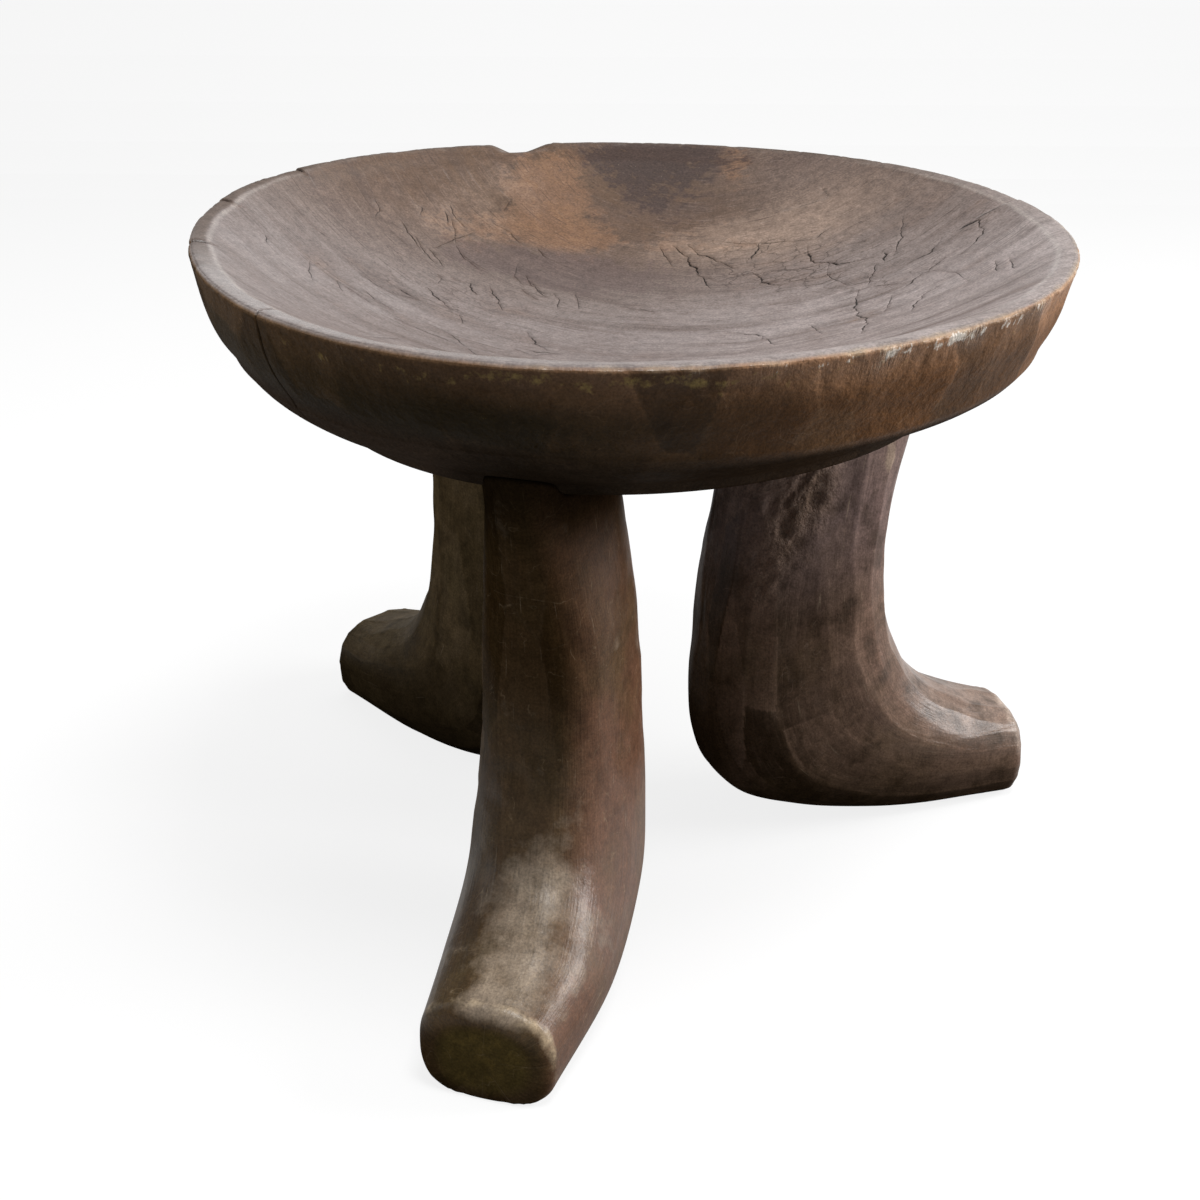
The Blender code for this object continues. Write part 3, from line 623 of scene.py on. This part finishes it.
# The wall's right side, where the right lamp falls, is coated a lighter red-brown: partly its own ruddier wood, partly
# painted light
seat_layers["ruddy"] = 0.5 + 0.5 * np.tanh(3 * (np.cos(turn_of + np.radians(22)) - 0.30))
back_lip = ease((py - 0.04) / 0.08) * ease((0.17 - px) / 0.06)
# The pale arris is worn wood and a painted highlight; it is weakened along the shaded back of the lip
seat_layers["arris"] *= 1 - 0.6 * back_lip
# Painted shade on the underside below the ridge, lifted by painted light on its left and deepened on its right
seat_layers["under left"] = seat_layers["under"] * ease((-px - 0.03) / 0.05)
seat_layers["under right"] = seat_layers["under"] * ease((px + 0.01) / 0.05)
seat_layers["sheen"] = seat_layers["hollow"] * (0.35 + 0.24 * ease(-px / 0.15) + 0.35 * seat_layers["arris"])
sheltered = np.maximum(ease(-px / 0.12) * ease((py + 0.10) / 0.06), back_lip)
seat_layers["sheen"] *= 1 - 0.7 * seat_layers["lip"] * sheltered
seat_layers["sheen"] += (1 - seat_layers["hollow"]) * (0.06 + 0.10 * seat_layers["ruddy"]) * (1 - 0.85 * seat_layers["under"])
seat_layers["sheen"] += 0.3 * seat_layers["fringe"] * seat_layers["ruddy"] * (1 - seat_layers["hollow"])
seat_layers["sheen"] += 0.5 * seat_layers["lip"] * ease(-py / 0.1) * ease(0.6 - px / 0.15)
seat_layers["shaded lip"] = seat_layers["lip"] * sheltered * (1 - seat_layers["arris"])
seat_layers["gleam"] *= np.exp(-((turn_of + np.radians(48)) / np.radians(27)) ** 2)
# The rubbed edge is worn wood and a painted highlight, mostly on the lit right side
seat_layers["edge"] *= 0.3 + 0.7 * seat_layers["ruddy"]
seat_layers["scuffs"] = seat_layers["ruddy"] * (1 - seat_layers["hollow"])
seat_layers["fringe"] *= 0.45 + 0.55 * seat_layers["ruddy"]
# Painted light: the top of the wall is paler on the lit right side
seat_layers["lit upper wall"] *= 0.25 + 0.75 * seat_layers["ruddy"]
# Painted shade: the wall darkens towards its foot, away from the lit right side
seat_layers["lower"] *= 1 - 0.9 * seat_layers["ruddy"]
# Painted shade: the front of the wall, facing forward and down out of the lamps' light, is coated near-black
seat_layers["front"] = np.exp(-((turn_of + np.radians(104)) / np.radians(34)) ** 2) * (1 - seat_layers["hollow"])
seat_layers["bright"] = ease((px + 0.02) / 0.13) * ease((0.13 - py) / 0.14)
seat_layers["mossy"] = seat_layers["mossy"] * np.exp(-((turn_of + np.radians(95)) / np.radians(38)) ** 2)

seat_low, seat_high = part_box("seat_bowl")
rim_line = RIM_RADIUS * plan(np.linspace(0, 2 * np.pi, 721))
around = np.linspace(0, 2 * np.pi, 721)
AXIS = np.array(((seat_low.x + seat_high.x - (rim_line * np.cos(around)).min() - (rim_line * np.cos(around)).max()) / 2,
                 (seat_low.y + seat_high.y - (rim_line * np.sin(around)).min() - (rim_line * np.sin(around)).max()) / 2))
points[:, :2] += AXIS
seat = add_piece("seat", points, (quads.reshape(-1, 4), closing, dish_faces), (shell_corner, close_corner, dish_corner),
                 seat_layers, seat_wood(list(seat_layers)))
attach(seat, "root")
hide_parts("seat_bowl")

# Legs: three thick posts of the same wood, bent out at the foot like a boot and cut square at
# the toe. The blade ran down the grain, so its marks are long and narrow. Soles are worn flat
# and the tops are scribed to the seat's underside, over the hidden tenons.
LEG_TOP = SEAT_HEIGHT - SEAT_DEPTH + 0.024
TOE_HEIGHT = 0.0465
FOOT_HEIGHT = 0.067
HEEL_REACH = 0.0375
ANKLE = HEEL_REACH + 0.0995
SOLE_CUT = 0.0055
TOE_ROUND = 0.008
TOE_WEAR = 0.012
HALF_WIDTHS = (0.0215, 0.031, 0.0332, 0.0354, 0.0365, 0.0365, 0.031)
SQUARENESS = 2.6
GIRTH = 0.24
LEG_ROWS = 235
LEG_STEPS = 330
JOINT_GAP = 0.00015
# Reach of the toe, sideways bow at the seven stations, stroke length, width, depth, lean and keenness,
# the seed of each leg's marks, and how high its darker bottom part goes
LEG_CUTS = {
    "front": (0.2145, (-0.002, -0.004, -0.004, -0.003, 0.0, 0.004, 0.0035), 0.110, 0.024, 0.0005, 0.3, 14, 31, 0.08),
    "right": (0.2085, (0.0,) * 7, 0.075, 0.0125, 0.0007, 0.8, 13, 47, 0.06),
    "left": (0.211, (0.0,) * 7, 0.080, 0.0135, 0.0007, 0.8, 13, 59, 0.10),
}
# Torn and chipped places on the side to the viewer's right or left: out along the leg and up, half sizes in mm, strength
TORN = {"front": ((0, 0, 1, 1, 0),), "right": ((88, 204, 9, 15, 1.0), (80, 186, 13, 14, 1.0), (70, 166, 11, 15, 0.9), (61, 146, 8, 12, 0.6), (55, 200, 16, 12, 0.7)), "left": ((0, 0, 1, 1, 0),)}
CHIPPED = {"front": ((0, 0, 1, 1, 0),), "right": ((127, 203, 4, 9, 1.0), (120, 155, 1.5, 2, 0.8)), "left": ((0, 0, 1, 1, 0),)}


def under_height(x, y):
    """Height of the seat's underside over a plan point, from its profile, the rim's sway and the tip."""
    turn = np.arctan2(y, x)
    reach = np.hypot(x, y) / plan(turn)
    outside = outside_profile()[::-1]
    drop = np.interp(reach, outside[:, 0], outside[:, 1])
    return seat_height(x, turn, reach, drop)


def leg_point(t, q, turn, toe, bow):
    """Point of a leg: station t from the seat to the toe, q round the section.

    Rails of heel and instep span the section's depth in the upright plane through the axis,
    and the section is an oval |c|^n + |s|^n = 1, n going from 2 at the seat to a squarish 2.6 at the shin.
    """
    heel = along([(0.0555, LEG_TOP), (0.0445, 0.1715), (HEEL_REACH, 0.111), (HEEL_REACH, 0.0523),
                  (HEEL_REACH + 0.0225, 0.0168), (toe - 0.0833, -0.0006), (toe, -SOLE_CUT)], t)
    instep = along([(0.1615, LEG_TOP), (0.1365, 0.1715), (ANKLE, 0.1175), (ANKLE + 0.0105, FOOT_HEIGHT + 0.0201),
                    (ANKLE + 0.0265, FOOT_HEIGHT), (toe - 0.0222, TOE_HEIGHT + 0.0071), (toe, TOE_HEIGHT)], t)
    wide = along(np.stack([HALF_WIDTHS, bow], 1), t)
    square = 2 + (SQUARENESS - 2) * ease(t / 1.5)
    c = np.sign(np.cos(q)) * np.abs(np.cos(q)) ** (2 / square)
    s = np.sign(np.sin(q)) * np.abs(np.sin(q)) ** (2 / square)
    plane = (heel + instep) / 2 + (instep - heel) / 2 * c[..., None]
    across = wide[..., 0] * s + wide[..., 1]
    x = plane[..., 0] * np.cos(turn) - across * np.sin(turn)
    y = plane[..., 0] * np.sin(turn) + across * np.cos(turn)
    return np.stack([x, y, plane[..., 1]], -1)


def leg_surface(turn, toe, bow, stroke, width, deep, lean, keen, seed, dark_height, torn_spots, chip_spots):
    """Leg as rings from the seat's underside to the end of the toe, with blade marks cut in along its normals."""
    q = np.linspace(0, 2 * np.pi, LEG_STEPS, endpoint=False)
    fine = np.linspace(0, 1.6, 320)
    t, qq = np.meshgrid(fine, q, indexing="ij")
    p = leg_point(t, qq, turn, toe, bow)
    below = p[..., 2] < under_height(p[..., 0], p[..., 1]) - JOINT_GAP
    start = fine[np.argmax(below, axis=0)]
    t = start + (6 - start) * np.linspace(0, 1, LEG_ROWS)[:, None]
    qq = np.broadcast_to(q, t.shape)
    p = leg_point(t, qq, turn, toe, bow)
    p[0, :, 2] = under_height(p[0, :, 0], p[0, :, 1]) - JOINT_GAP
    bend = np.radians(np.linspace(12, 84, 8))
    end = p[-1].mean(0)
    ahead = np.array((np.cos(turn), np.sin(turn), 0.0))
    inset = 1 - (1 - np.cos(bend)) * TOE_WEAR / HALF_WIDTHS[-1]
    inset = np.concatenate([inset, inset[-1] * np.array((0.85, 0.7, 0.55, 0.4, 0.2))])
    push = 0.98 * TOE_ROUND * np.concatenate([np.sin(bend), np.linspace(1.0, 1.02, 5)])
    p = np.concatenate([p, end + (p[-1] - end) * inset[:, None, None] + ahead * push[:, None, None]])
    u = np.concatenate([[0], np.cumsum(np.linalg.norm(np.diff(p.mean(1), axis=0), axis=1))])
    u = np.broadcast_to(u[:, None], p.shape[:2])
    girth = np.broadcast_to(q / (2 * np.pi) * GIRTH, p.shape[:2])
    depth, crest, tone = blade_cuts(u, girth, GIRTH, stroke, width, lean, keen, seed)
    normal = np.cross(np.roll(p, -1, 1) - np.roll(p, 1, 1), np.gradient(p, axis=0))
    normal /= np.linalg.norm(normal, axis=-1)[..., None] + 1e-12
    normal *= np.sign((normal * (p - p.mean(1, keepdims=True))).sum(-1).mean())
    number = np.arange(len(p))[:, None]
    fade = np.clip(number / 8, 0, 1) * np.clip((len(p) - 6 - number) / 8, 0, 1)
    out = p[..., 0] * np.cos(turn) + p[..., 1] * np.sin(turn)
    seen = ease(0.5 + (p[..., 0] * np.sin(turn) - p[..., 1] * np.cos(turn)) / 0.01)
    torn, chipped = (blobs(out, p[..., 2], *spots) * seen for spots in (torn_spots, chip_spots))
    cut = deep * depth
    cut += 0.0007 * np.clip(swell(u, girth, 0.028, seed + 1) + 0.2, 0, 1) * ease((p[..., 2] - 0.05) / 0.06)
    cut += 0.0026 * np.minimum(torn, 1) * np.clip(swell(u + 0.5 * girth, 2.0 * girth, 0.014, seed + 2) + 0.3, 0, 1)
    flare = 0.0008 * np.clip(1 - (u - u[0]) / 0.016, 0, 1) ** 2
    p = p + normal * (flare - cut * fade)[..., None]
    ceiling = under_height(p[..., 0], p[..., 1]) - JOINT_GAP
    p[..., 2] += (ceiling[0] - p[0, :, 2]) * np.clip(1 - (u - u[0]) / 0.016, 0, 1) ** 2
    p[..., 2] = np.where(number < LEG_ROWS // 2, np.minimum(p[..., 2], ceiling), np.maximum(p[..., 2], 0.0))
    face = np.clip((number - LEG_ROWS - 5) / 4, 0, 1)
    layers = {
        "crest": crest * fade,
        "tone": tone,
        # Partly painted light: the flank facing the right lamp gets a lighter ruddy coat, besides the wood's own red
        "ruddy": np.clip(normal[..., 0] * 1.4, 0, 1),
        # Worn wood and painted highlight: upward faces of the lower leg and foot are paler
        "rub": ease(normal[..., 2] * 1.6 - 0.1) * ease((0.13 - p[..., 2]) / 0.07) * (1 - face),
        "brow": np.exp(-((number - LEG_ROWS - 1) / 2.8) ** 2) * ease(normal[..., 2] + 0.6) * (0.5 + 0.5 * ease(0.5 + normal[..., 0])),
        "plum": ease((p[..., 2] - 0.11) / 0.07),
        "face": face + 0 * tone,
        "low": ease(1 - p[..., 2] / dark_height) * (1 - 0.2 * ease((out - 0.15) / 0.03)),
        "dim": ease(0.35 - normal[..., 2] * 1.5) * ease(0.6 - normal[..., 0]),
        "polish": (0.8 * ease(normal[..., 2] * 1.6 + 0.1) + 0.4 * ease(normal[..., 0] - 0.2)) * ease((u - 0.01) / 0.04),
        # Painted shade on the heel side, towards the stool's middle, deeper low down
        "heel": ease((0.068 - out) / 0.03) * (0.45 + 0.55 * ease((0.13 - p[..., 2]) / 0.08)),
        # Just under the seat: painted shade on the front and left legs, painted light on the right leg
        "top": ease(1 - (u - 0.004) / 0.05),
        "torn": torn,
        "chip": chipped,
    }
    return p, np.stack([u, girth], -1), layers


def leg_wood(name, layer_names, colours):
    """Same old hardwood on a leg: dark, dense and oily, streaked down the grain.

    It gives the eye a tone for each blade stroke, pale rubbed crests, an instep that is worn
    and painted highlight, a ruddy flank that is partly painted light, a dull dark toe end with a tan
    worn brow, short pale scratches, and painted shade on the heel side and under the seat, with
    painted light at the right leg's top.
    """
    wood = bpy.data.materials.new(name)
    wood.use_nodes = True
    tree = wood.node_tree
    shader = tree.nodes["Principled BSDF"]
    mask = {n: node(tree, "ShaderNodeAttribute", attribute_name=n).outputs["Fac"] for n in layer_names}
    place = node(tree, "ShaderNodeTexCoord").outputs["Object"]
    grain = node(tree, "ShaderNodeUVMap", uv_map="grain").outputs["UV"]
    noise = {}
    # Noise fields by size in mm, along the grain and across it
    for field, coords, long, wide, detail in (("cloud", place, 38, 38, 6), ("blotch", place, 8, 8, 5),
                                              ("pores", place, 1.4, 1.4, 2), ("streak", grain, 90, 11, 4),
                                              ("hair", grain, 22, 1.3, 3), ("scratch", grain, 26, 1.1, 1),
                                              ("grit", place, 1.1, 1.1, 3), ("mottle", place, 6, 6, 5),
                                              ("patch", place, 17, 17, 5)):
        size = node(tree, "ShaderNodeVectorMath", {0: coords, 1: (1000 / long, 1000 / wide, 1000 / wide)},
                    operation="MULTIPLY").outputs[0]
        noise[field] = node(tree, "ShaderNodeTexNoise", {"Vector": size, "Scale": 1.0, "Detail": detail,
                                                         "Roughness": 0.6}).outputs["Fac"]
    # Scuffs: thin swerving lines where a noise of 24 mm passes its middle
    swerve = node(tree, "ShaderNodeTexNoise", {"Vector": place, "Scale": 1000 / 24, "Detail": 2.0, "Distortion": 1.2}).outputs["Fac"]
    swerve = node(tree, "ShaderNodeMath", {0: swerve, 1: 0.5}, operation="SUBTRACT").outputs[0]
    swerve = node(tree, "ShaderNodeMath", {0: swerve}, operation="ABSOLUTE").outputs[0]
    for key, base, stir, much, low, high in (
            ("ruddy lit flank", mask["ruddy"], noise["cloud"], 0.9, 0.15, 0.9), ("rubbed lit instep", mask["rub"], noise["patch"], 2.2, 0.30, 1.05),
            ("rubbed crest", mask["crest"], noise["blotch"], 1.3, 0.55, 1.3), ("worn brow", mask["brow"], noise["blotch"], 2.2, 0.45, 1.15),
            ("toe end", mask["face"], noise["cloud"], 0.5, 0.3, 0.8), ("pale stroke", mask["tone"], noise["streak"], 0.7, 0.55, 1.05),
            ("dark stroke", mask["tone"], noise["streak"], 0.7, 0.45, -0.05), ("torn patch", mask["torn"], noise["mottle"], 3.0, 0.6, 1.3),
            ("pale chip", mask["chip"], noise["mottle"], 1.6, 0.4, 0.8), ("mossy end", mask["face"], noise["mottle"], 3.0, 1.0, 1.6)):
        stirred = node(tree, "ShaderNodeMath", {0: node(tree, "ShaderNodeMath", {0: stir, 1: 0.5}, operation="SUBTRACT").outputs[0],
                                                1: much, 2: base}, operation="MULTIPLY_ADD").outputs[0]
        mask[key] = node(tree, "ShaderNodeMapRange", {0: stirred, 1: low, 2: high}).outputs[0]
    for key, source, low, high in (("dark hair", noise["hair"], 0.52, 0.78), ("pale hair", noise["hair"], 0.44, 0.24),
                                   ("shade", noise["streak"], 0.46, 0.72), ("wash", noise["cloud"], 0.45, 0.70),
                                   ("pale scratch", noise["scratch"], 0.70, 0.76), ("dark patch", noise["patch"], 0.50, 0.66),
                                   ("pale patch", noise["patch"], 0.46, 0.30), ("fleck", noise["pores"], 0.72, 0.80),
                                   ("scuff line", swerve, 0.008, 0.0), ("scuffed", noise["blotch"], 0.48, 0.60)):
        mask[key] = node(tree, "ShaderNodeMapRange", {0: source, 1: low, 2: high}).outputs[0]
    mask["scuff"] = node(tree, "ShaderNodeMath", {0: mask["scuff line"], 1: mask["scuffed"]}, operation="MULTIPLY").outputs[0]
    colour = ink(colours["wood"])
    for tint, key, much in ((colours["dark"], "shade", 0.55), (colours["dark"], "dark stroke", 0.5 + 0.6 * colours["blotched"]),
                            (colours["pale"], "pale stroke", 0.3 + 0.6 * colours["blotched"]), (colours["ruddy"], "ruddy lit flank", 0.75),
                            (colours["moss"], "wash", 0.45), (colours["plum"], "plum", 0.4), (colours["rub"], "rubbed lit instep", 0.7),
                            (colours["dark"], "dark patch", colours["blotched"]), (colours["pale"], "pale patch", 0.4 * colours["blotched"]),
                            (colours["pale"], "pale hair", 0.25), (colours["dark"], "dark hair", 0.35),
                            (colours["rub"], "rubbed crest", 0.04), (colours["end"], "toe end", 0.85),
                            (colours["pale"], "torn", 0.80), (colours["dark"], "torn patch", 0.4), ("#6f5c30", "mossy end", 0.5), ("#b09a86", "pale chip", 0.7),
                            (colours["brow"], "worn brow", 0.75), ("#b39f86", "pale scratch", 0.30), ("#a08d76", "fleck", 0.15),
                            (colours["scuff"], "scuff", 0.26), (colours["dark"], "low", 0.35), (colours["dark"], "heel", 0.6), (colours["top shade and light"], "top", 0.8)):
        by = node(tree, "ShaderNodeMath", {0: mask[key], 1: much}, operation="MULTIPLY").outputs[0]
        colour = node(tree, "ShaderNodeMix", {0: by, 6: colour, 7: ink(tint)}, data_type="RGBA").outputs[2]
    # Fine unevenness of the tone all over
    for field, low, high in (("grit", 0.72, 1.28), ("mottle", 0.78, 1.22)):
        tone = node(tree, "ShaderNodeMapRange", {0: noise[field], 1: 0.3, 2: 0.7, 3: low, 4: high}).outputs[0]
        colour = node(tree, "ShaderNodeVectorMath", {0: colour, 1: tone}, operation="MULTIPLY").outputs[0]
    tree.links.new(colour, shader.inputs["Base Color"])
    gloss = node(tree, "ShaderNodeMapRange", {0: noise["blotch"], 1: 0.3, 2: 0.7, 3: 0.33, 4: 0.55}).outputs[0]
    gloss = node(tree, "ShaderNodeMix", {0: mask["dim"], 2: gloss, 3: 0.8}).outputs[0]
    tree.links.new(gloss, shader.inputs["Roughness"])
    shader.inputs["Specular IOR Level"].default_value = 0.0
    # Polish from hands and feet: on the instep and the side that is rubbed
    tree.links.new(mask["polish"], shader.inputs["Coat Weight"])
    shader.inputs["Coat Roughness"].default_value = 0.33
    # Relief in mm: hair lines, pores and soft dents
    rough = node(tree, "ShaderNodeMath", {0: noise["hair"], 1: 0.18, 2: node(tree, "ShaderNodeMath", {0: noise["pores"], 1: 0.06},
                 operation="MULTIPLY").outputs[0]}, operation="MULTIPLY_ADD").outputs[0]
    relief = node(tree, "ShaderNodeMath", {0: noise["blotch"], 1: 0.35, 2: rough}, operation="MULTIPLY_ADD").outputs[0]
    tear = node(tree, "ShaderNodeMath", {0: noise["mottle"], 1: mask["torn"]}, operation="MULTIPLY").outputs[0]
    relief = node(tree, "ShaderNodeMath", {0: tear, 1: 5.0, 2: relief}, operation="MULTIPLY_ADD").outputs[0]
    bump = node(tree, "ShaderNodeBump", {"Strength": 1.0, "Distance": 0.001, "Height": relief})
    tree.links.new(bump.outputs[0], shader.inputs["Normal"])
    tree.links.new(bump.outputs[0], shader.inputs["Coat Normal"])
    return wood


LEG_COLOURS = {
    "front": {"wood": "#54402a", "dark": "#2c2112", "pale": "#78624a", "ruddy": "#7b5643", "moss": "#5d5033",
              "rub": "#b8a692", "end": "#64552f", "brow": "#c9b394", "scuff": "#b09a7c", "top shade and light": "#1d160c", "plum": "#443119", "blotched": 0.18},
    "right": {"wood": "#745e4e", "dark": "#2b2012", "pale": "#8f7767", "ruddy": "#917364", "moss": "#55472f",
              "rub": "#9c887c", "end": "#7a644c", "brow": "#c6b3a4", "scuff": "#a38c7b", "top shade and light": "#a58f86", "plum": "#88777a", "blotched": 0.55},
    "left": {"wood": "#6a583e", "dark": "#2f2518", "pale": "#86735a", "ruddy": "#776049", "moss": "#605338",
             "rub": "#85755b", "end": "#66573b", "brow": "#8d7a5c", "scuff": "#7f6d54", "top shade and light": "#2a2116", "plum": "#6a583e", "blotched": 0.5},
}
for side, cuts in LEG_CUTS.items():
    surface, leg_grain, layers = leg_surface(LEG_TURNS[side], *cuts, TORN[side], CHIPPED[side])
    aside = surface[..., 1] * np.cos(LEG_TURNS[side]) - surface[..., 0] * np.sin(LEG_TURNS[side])
    # On the front leg the pale worn and highlighted instep is narrowed towards its middle
    layers["rub"] *= 1 - {"front": 0.85, "right": 0.0, "left": 0.0}[side] * (ease(0.5 - (aside + 0.006) / 0.020) + 0.6 * ease((aside - 0.014) / 0.012))
    layers["polish"] *= {"front": 0.85, "right": 0.8, "left": 0.15}[side]
    layers["top"] *= {"front": 1.0, "right": 0.7, "left": 0.6}[side]
    layers["low"] *= {"front": 0.8, "right": 2.4, "left": 2.6}[side]
    layers["heel"] *= {"front": 0.0, "right": 1.55, "left": 1.4}[side]
    lid = surface[0] + (surface[0].mean(0) - surface[0]) * np.array((0.97, 0.65, 0.3))[:, None, None]
    lid[..., 2] = under_height(lid[..., 0], lid[..., 1]) - JOINT_GAP
    rings = np.concatenate([lid, surface])
    count, around_leg = rings.shape[:2]
    ends = np.stack([lid[0].mean(0), surface[-1].mean(0)])
    body = np.vstack([rings.reshape(-1, 3), ends])
    sides = ring_faces(count, around_leg)
    spot = np.arange(around_leg)
    end_ring = spot + (count - 1) * around_leg
    top = np.stack([spot, np.roll(spot, -1), np.full(around_leg, len(body) - 2)], -1)
    toe = np.stack([np.roll(end_ring, -1), end_ring, np.full(around_leg, len(body) - 1)], -1)
    grain_all = np.vstack([np.zeros((len(lid) * around_leg, 2)), leg_grain.reshape(-1, 2)])
    side_corner = unwrap(grain_all[sides], 1, GIRTH)
    cap_corner = np.zeros((around_leg, 3, 2))
    leg_layers = {n: np.concatenate([np.zeros(len(lid) * around_leg), v.ravel(), [0.0, v[-1].mean()]]) for n, v in layers.items()}
    body[:, :2] += AXIS
    wood = leg_wood("worn hardwood of the %s leg" % side, list(leg_layers), LEG_COLOURS[side])
    leg = add_piece("leg-" + side, body, (sides.reshape(-1, 4), top, toe), (side_corner, cap_corner, cap_corner), leg_layers, wood)
    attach(leg, "root")
    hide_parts(side + "_leg")

# Floor, light and camera: a sheet of white paper swept up behind the stool, soft light from
# above, behind and the right, and a camera where the photograph was taken from.
SWEEP_WIDE = 1.4
SWEEP_FRONT = -0.62
SWEEP_BACK = 2.2
SWEEP_HIGH = 2.4
bend = np.radians(np.linspace(0, 90, 13))
sweep_line = np.vstack([[(SWEEP_FRONT, 0.0)], np.stack([SWEEP_BACK - 0.8 + 0.8 * np.sin(bend), 0.8 - 0.8 * np.cos(bend)], 1),
                        [(SWEEP_BACK, SWEEP_HIGH)]])
edges = np.array((-SWEEP_WIDE, SWEEP_WIDE))
sheet = np.stack([np.broadcast_to(edges[:, None], (2, len(sweep_line))), np.broadcast_to(sweep_line[:, 0], (2, len(sweep_line))),
                  np.broadcast_to(sweep_line[:, 1] - 0.0002, (2, len(sweep_line)))], -1)
n = len(sweep_line)
strip = np.arange(n - 1)
sweep_mesh = bpy.data.meshes.new("paper sweep")
sweep_mesh.from_pydata(sheet.reshape(-1, 3).tolist(), [], np.stack([strip, n + strip, n + strip + 1, strip + 1], -1).tolist())
sweep = bpy.data.objects.new("paper sweep", sweep_mesh)
bpy.context.scene.collection.objects.link(sweep)
paper = bpy.data.materials.new("white paper")
paper.use_nodes = True
leaf = paper.node_tree
matt = leaf.nodes["Principled BSDF"]
matt.inputs["Base Color"].default_value = ink("#7c7c7c")
matt.inputs["Roughness"].default_value = 1.0
matt.inputs["Specular IOR Level"].default_value = 0.0
matt.inputs["Emission Color"].default_value = (1, 1, 1, 1)
ray = node(leaf, "ShaderNodeLightPath").outputs
seen = node(leaf, "ShaderNodeMath", {0: ray["Is Camera Ray"], 1: ray["Is Glossy Ray"]}, operation="MAXIMUM").outputs[0]
seen = node(leaf, "ShaderNodeMath", {0: seen, 1: ray["Is Transmission Ray"]}, operation="MAXIMUM").outputs[0]
seen = node(leaf, "ShaderNodeMath", {0: seen, 1: 0.83}, operation="MULTIPLY").outputs[0]
leaf.links.new(seen, matt.inputs["Emission Strength"])
sweep_mesh.materials.append(paper)

room = bpy.data.worlds.new("dim studio")
room.use_nodes = True
bpy.context.scene.world = room
room.node_tree.nodes["Background"].inputs["Color"].default_value = (1, 1, 1, 1)
lit = node(room.node_tree, "ShaderNodeLightPath").outputs["Is Camera Ray"]
lit = node(room.node_tree, "ShaderNodeMapRange", {0: lit, 3: 0.15, 4: 1.0}).outputs[0]
room.node_tree.links.new(lit, room.node_tree.nodes["Background"].inputs["Strength"])


def softbox(name, place, size, power):
    """Square soft light aimed at the middle of the stool."""
    lamp = bpy.data.lights.new(name, "AREA")
    lamp.size = size
    lamp.energy = power
    made = bpy.data.objects.new(name, lamp)
    away = np.array(place) - np.array((0.0, 0.0, 0.2))
    away = away / np.linalg.norm(away)
    right = np.cross((0.0, 1.0, 0.001), away)
    right /= np.linalg.norm(right)
    up = np.cross(away, right)
    made.matrix_world = Matrix([(*row, p) for row, p in zip(np.stack([right, up, away], 1).tolist(), place)] + [(0, 0, 0, 1)])
    bpy.context.scene.collection.objects.link(made)


softbox("top light", (0.25, 0.30, 1.7), 1.5, 11.5)
softbox("right light", (1.45, 0.15, 0.75), 0.8, 21)
softbox("front light", (0.20, -0.42, 1.6), 0.45, 14)
softbox("left light", (-1.45, 0.05, 0.8), 0.9, 3)

YAW, PITCH, ROLL = np.radians((-0.887, 25.759, 0.113))
EYE_BACK = 0.8082
EYE_HEIGHT = 0.5207
FOCAL_PIXELS = 1809.5
FRAME_PIXELS = 1200
eye = np.array((AXIS[0], AXIS[1] - EYE_BACK, EYE_HEIGHT))
ahead = np.array((np.sin(YAW) * np.cos(PITCH), np.cos(YAW) * np.cos(PITCH), -np.sin(PITCH)))
level = np.array((np.cos(YAW), -np.sin(YAW), 0.0))
upright = np.cross(level, ahead)
right = np.cos(ROLL) * level + np.sin(ROLL) * upright
up = np.cos(ROLL) * upright - np.sin(ROLL) * level
lens = bpy.data.cameras.new("camera")
lens.sensor_width = 36.0
lens.lens = FOCAL_PIXELS / FRAME_PIXELS * lens.sensor_width
camera = bpy.data.objects.new("camera", lens)
camera.matrix_world = Matrix([(*row, p) for row, p in zip(np.stack([right, up, -ahead], 1).tolist(), eye.tolist())] + [(0, 0, 0, 1)])
bpy.context.scene.collection.objects.link(camera)
bpy.context.scene.camera = camera
bpy.context.scene.view_settings.view_transform = "Standard"
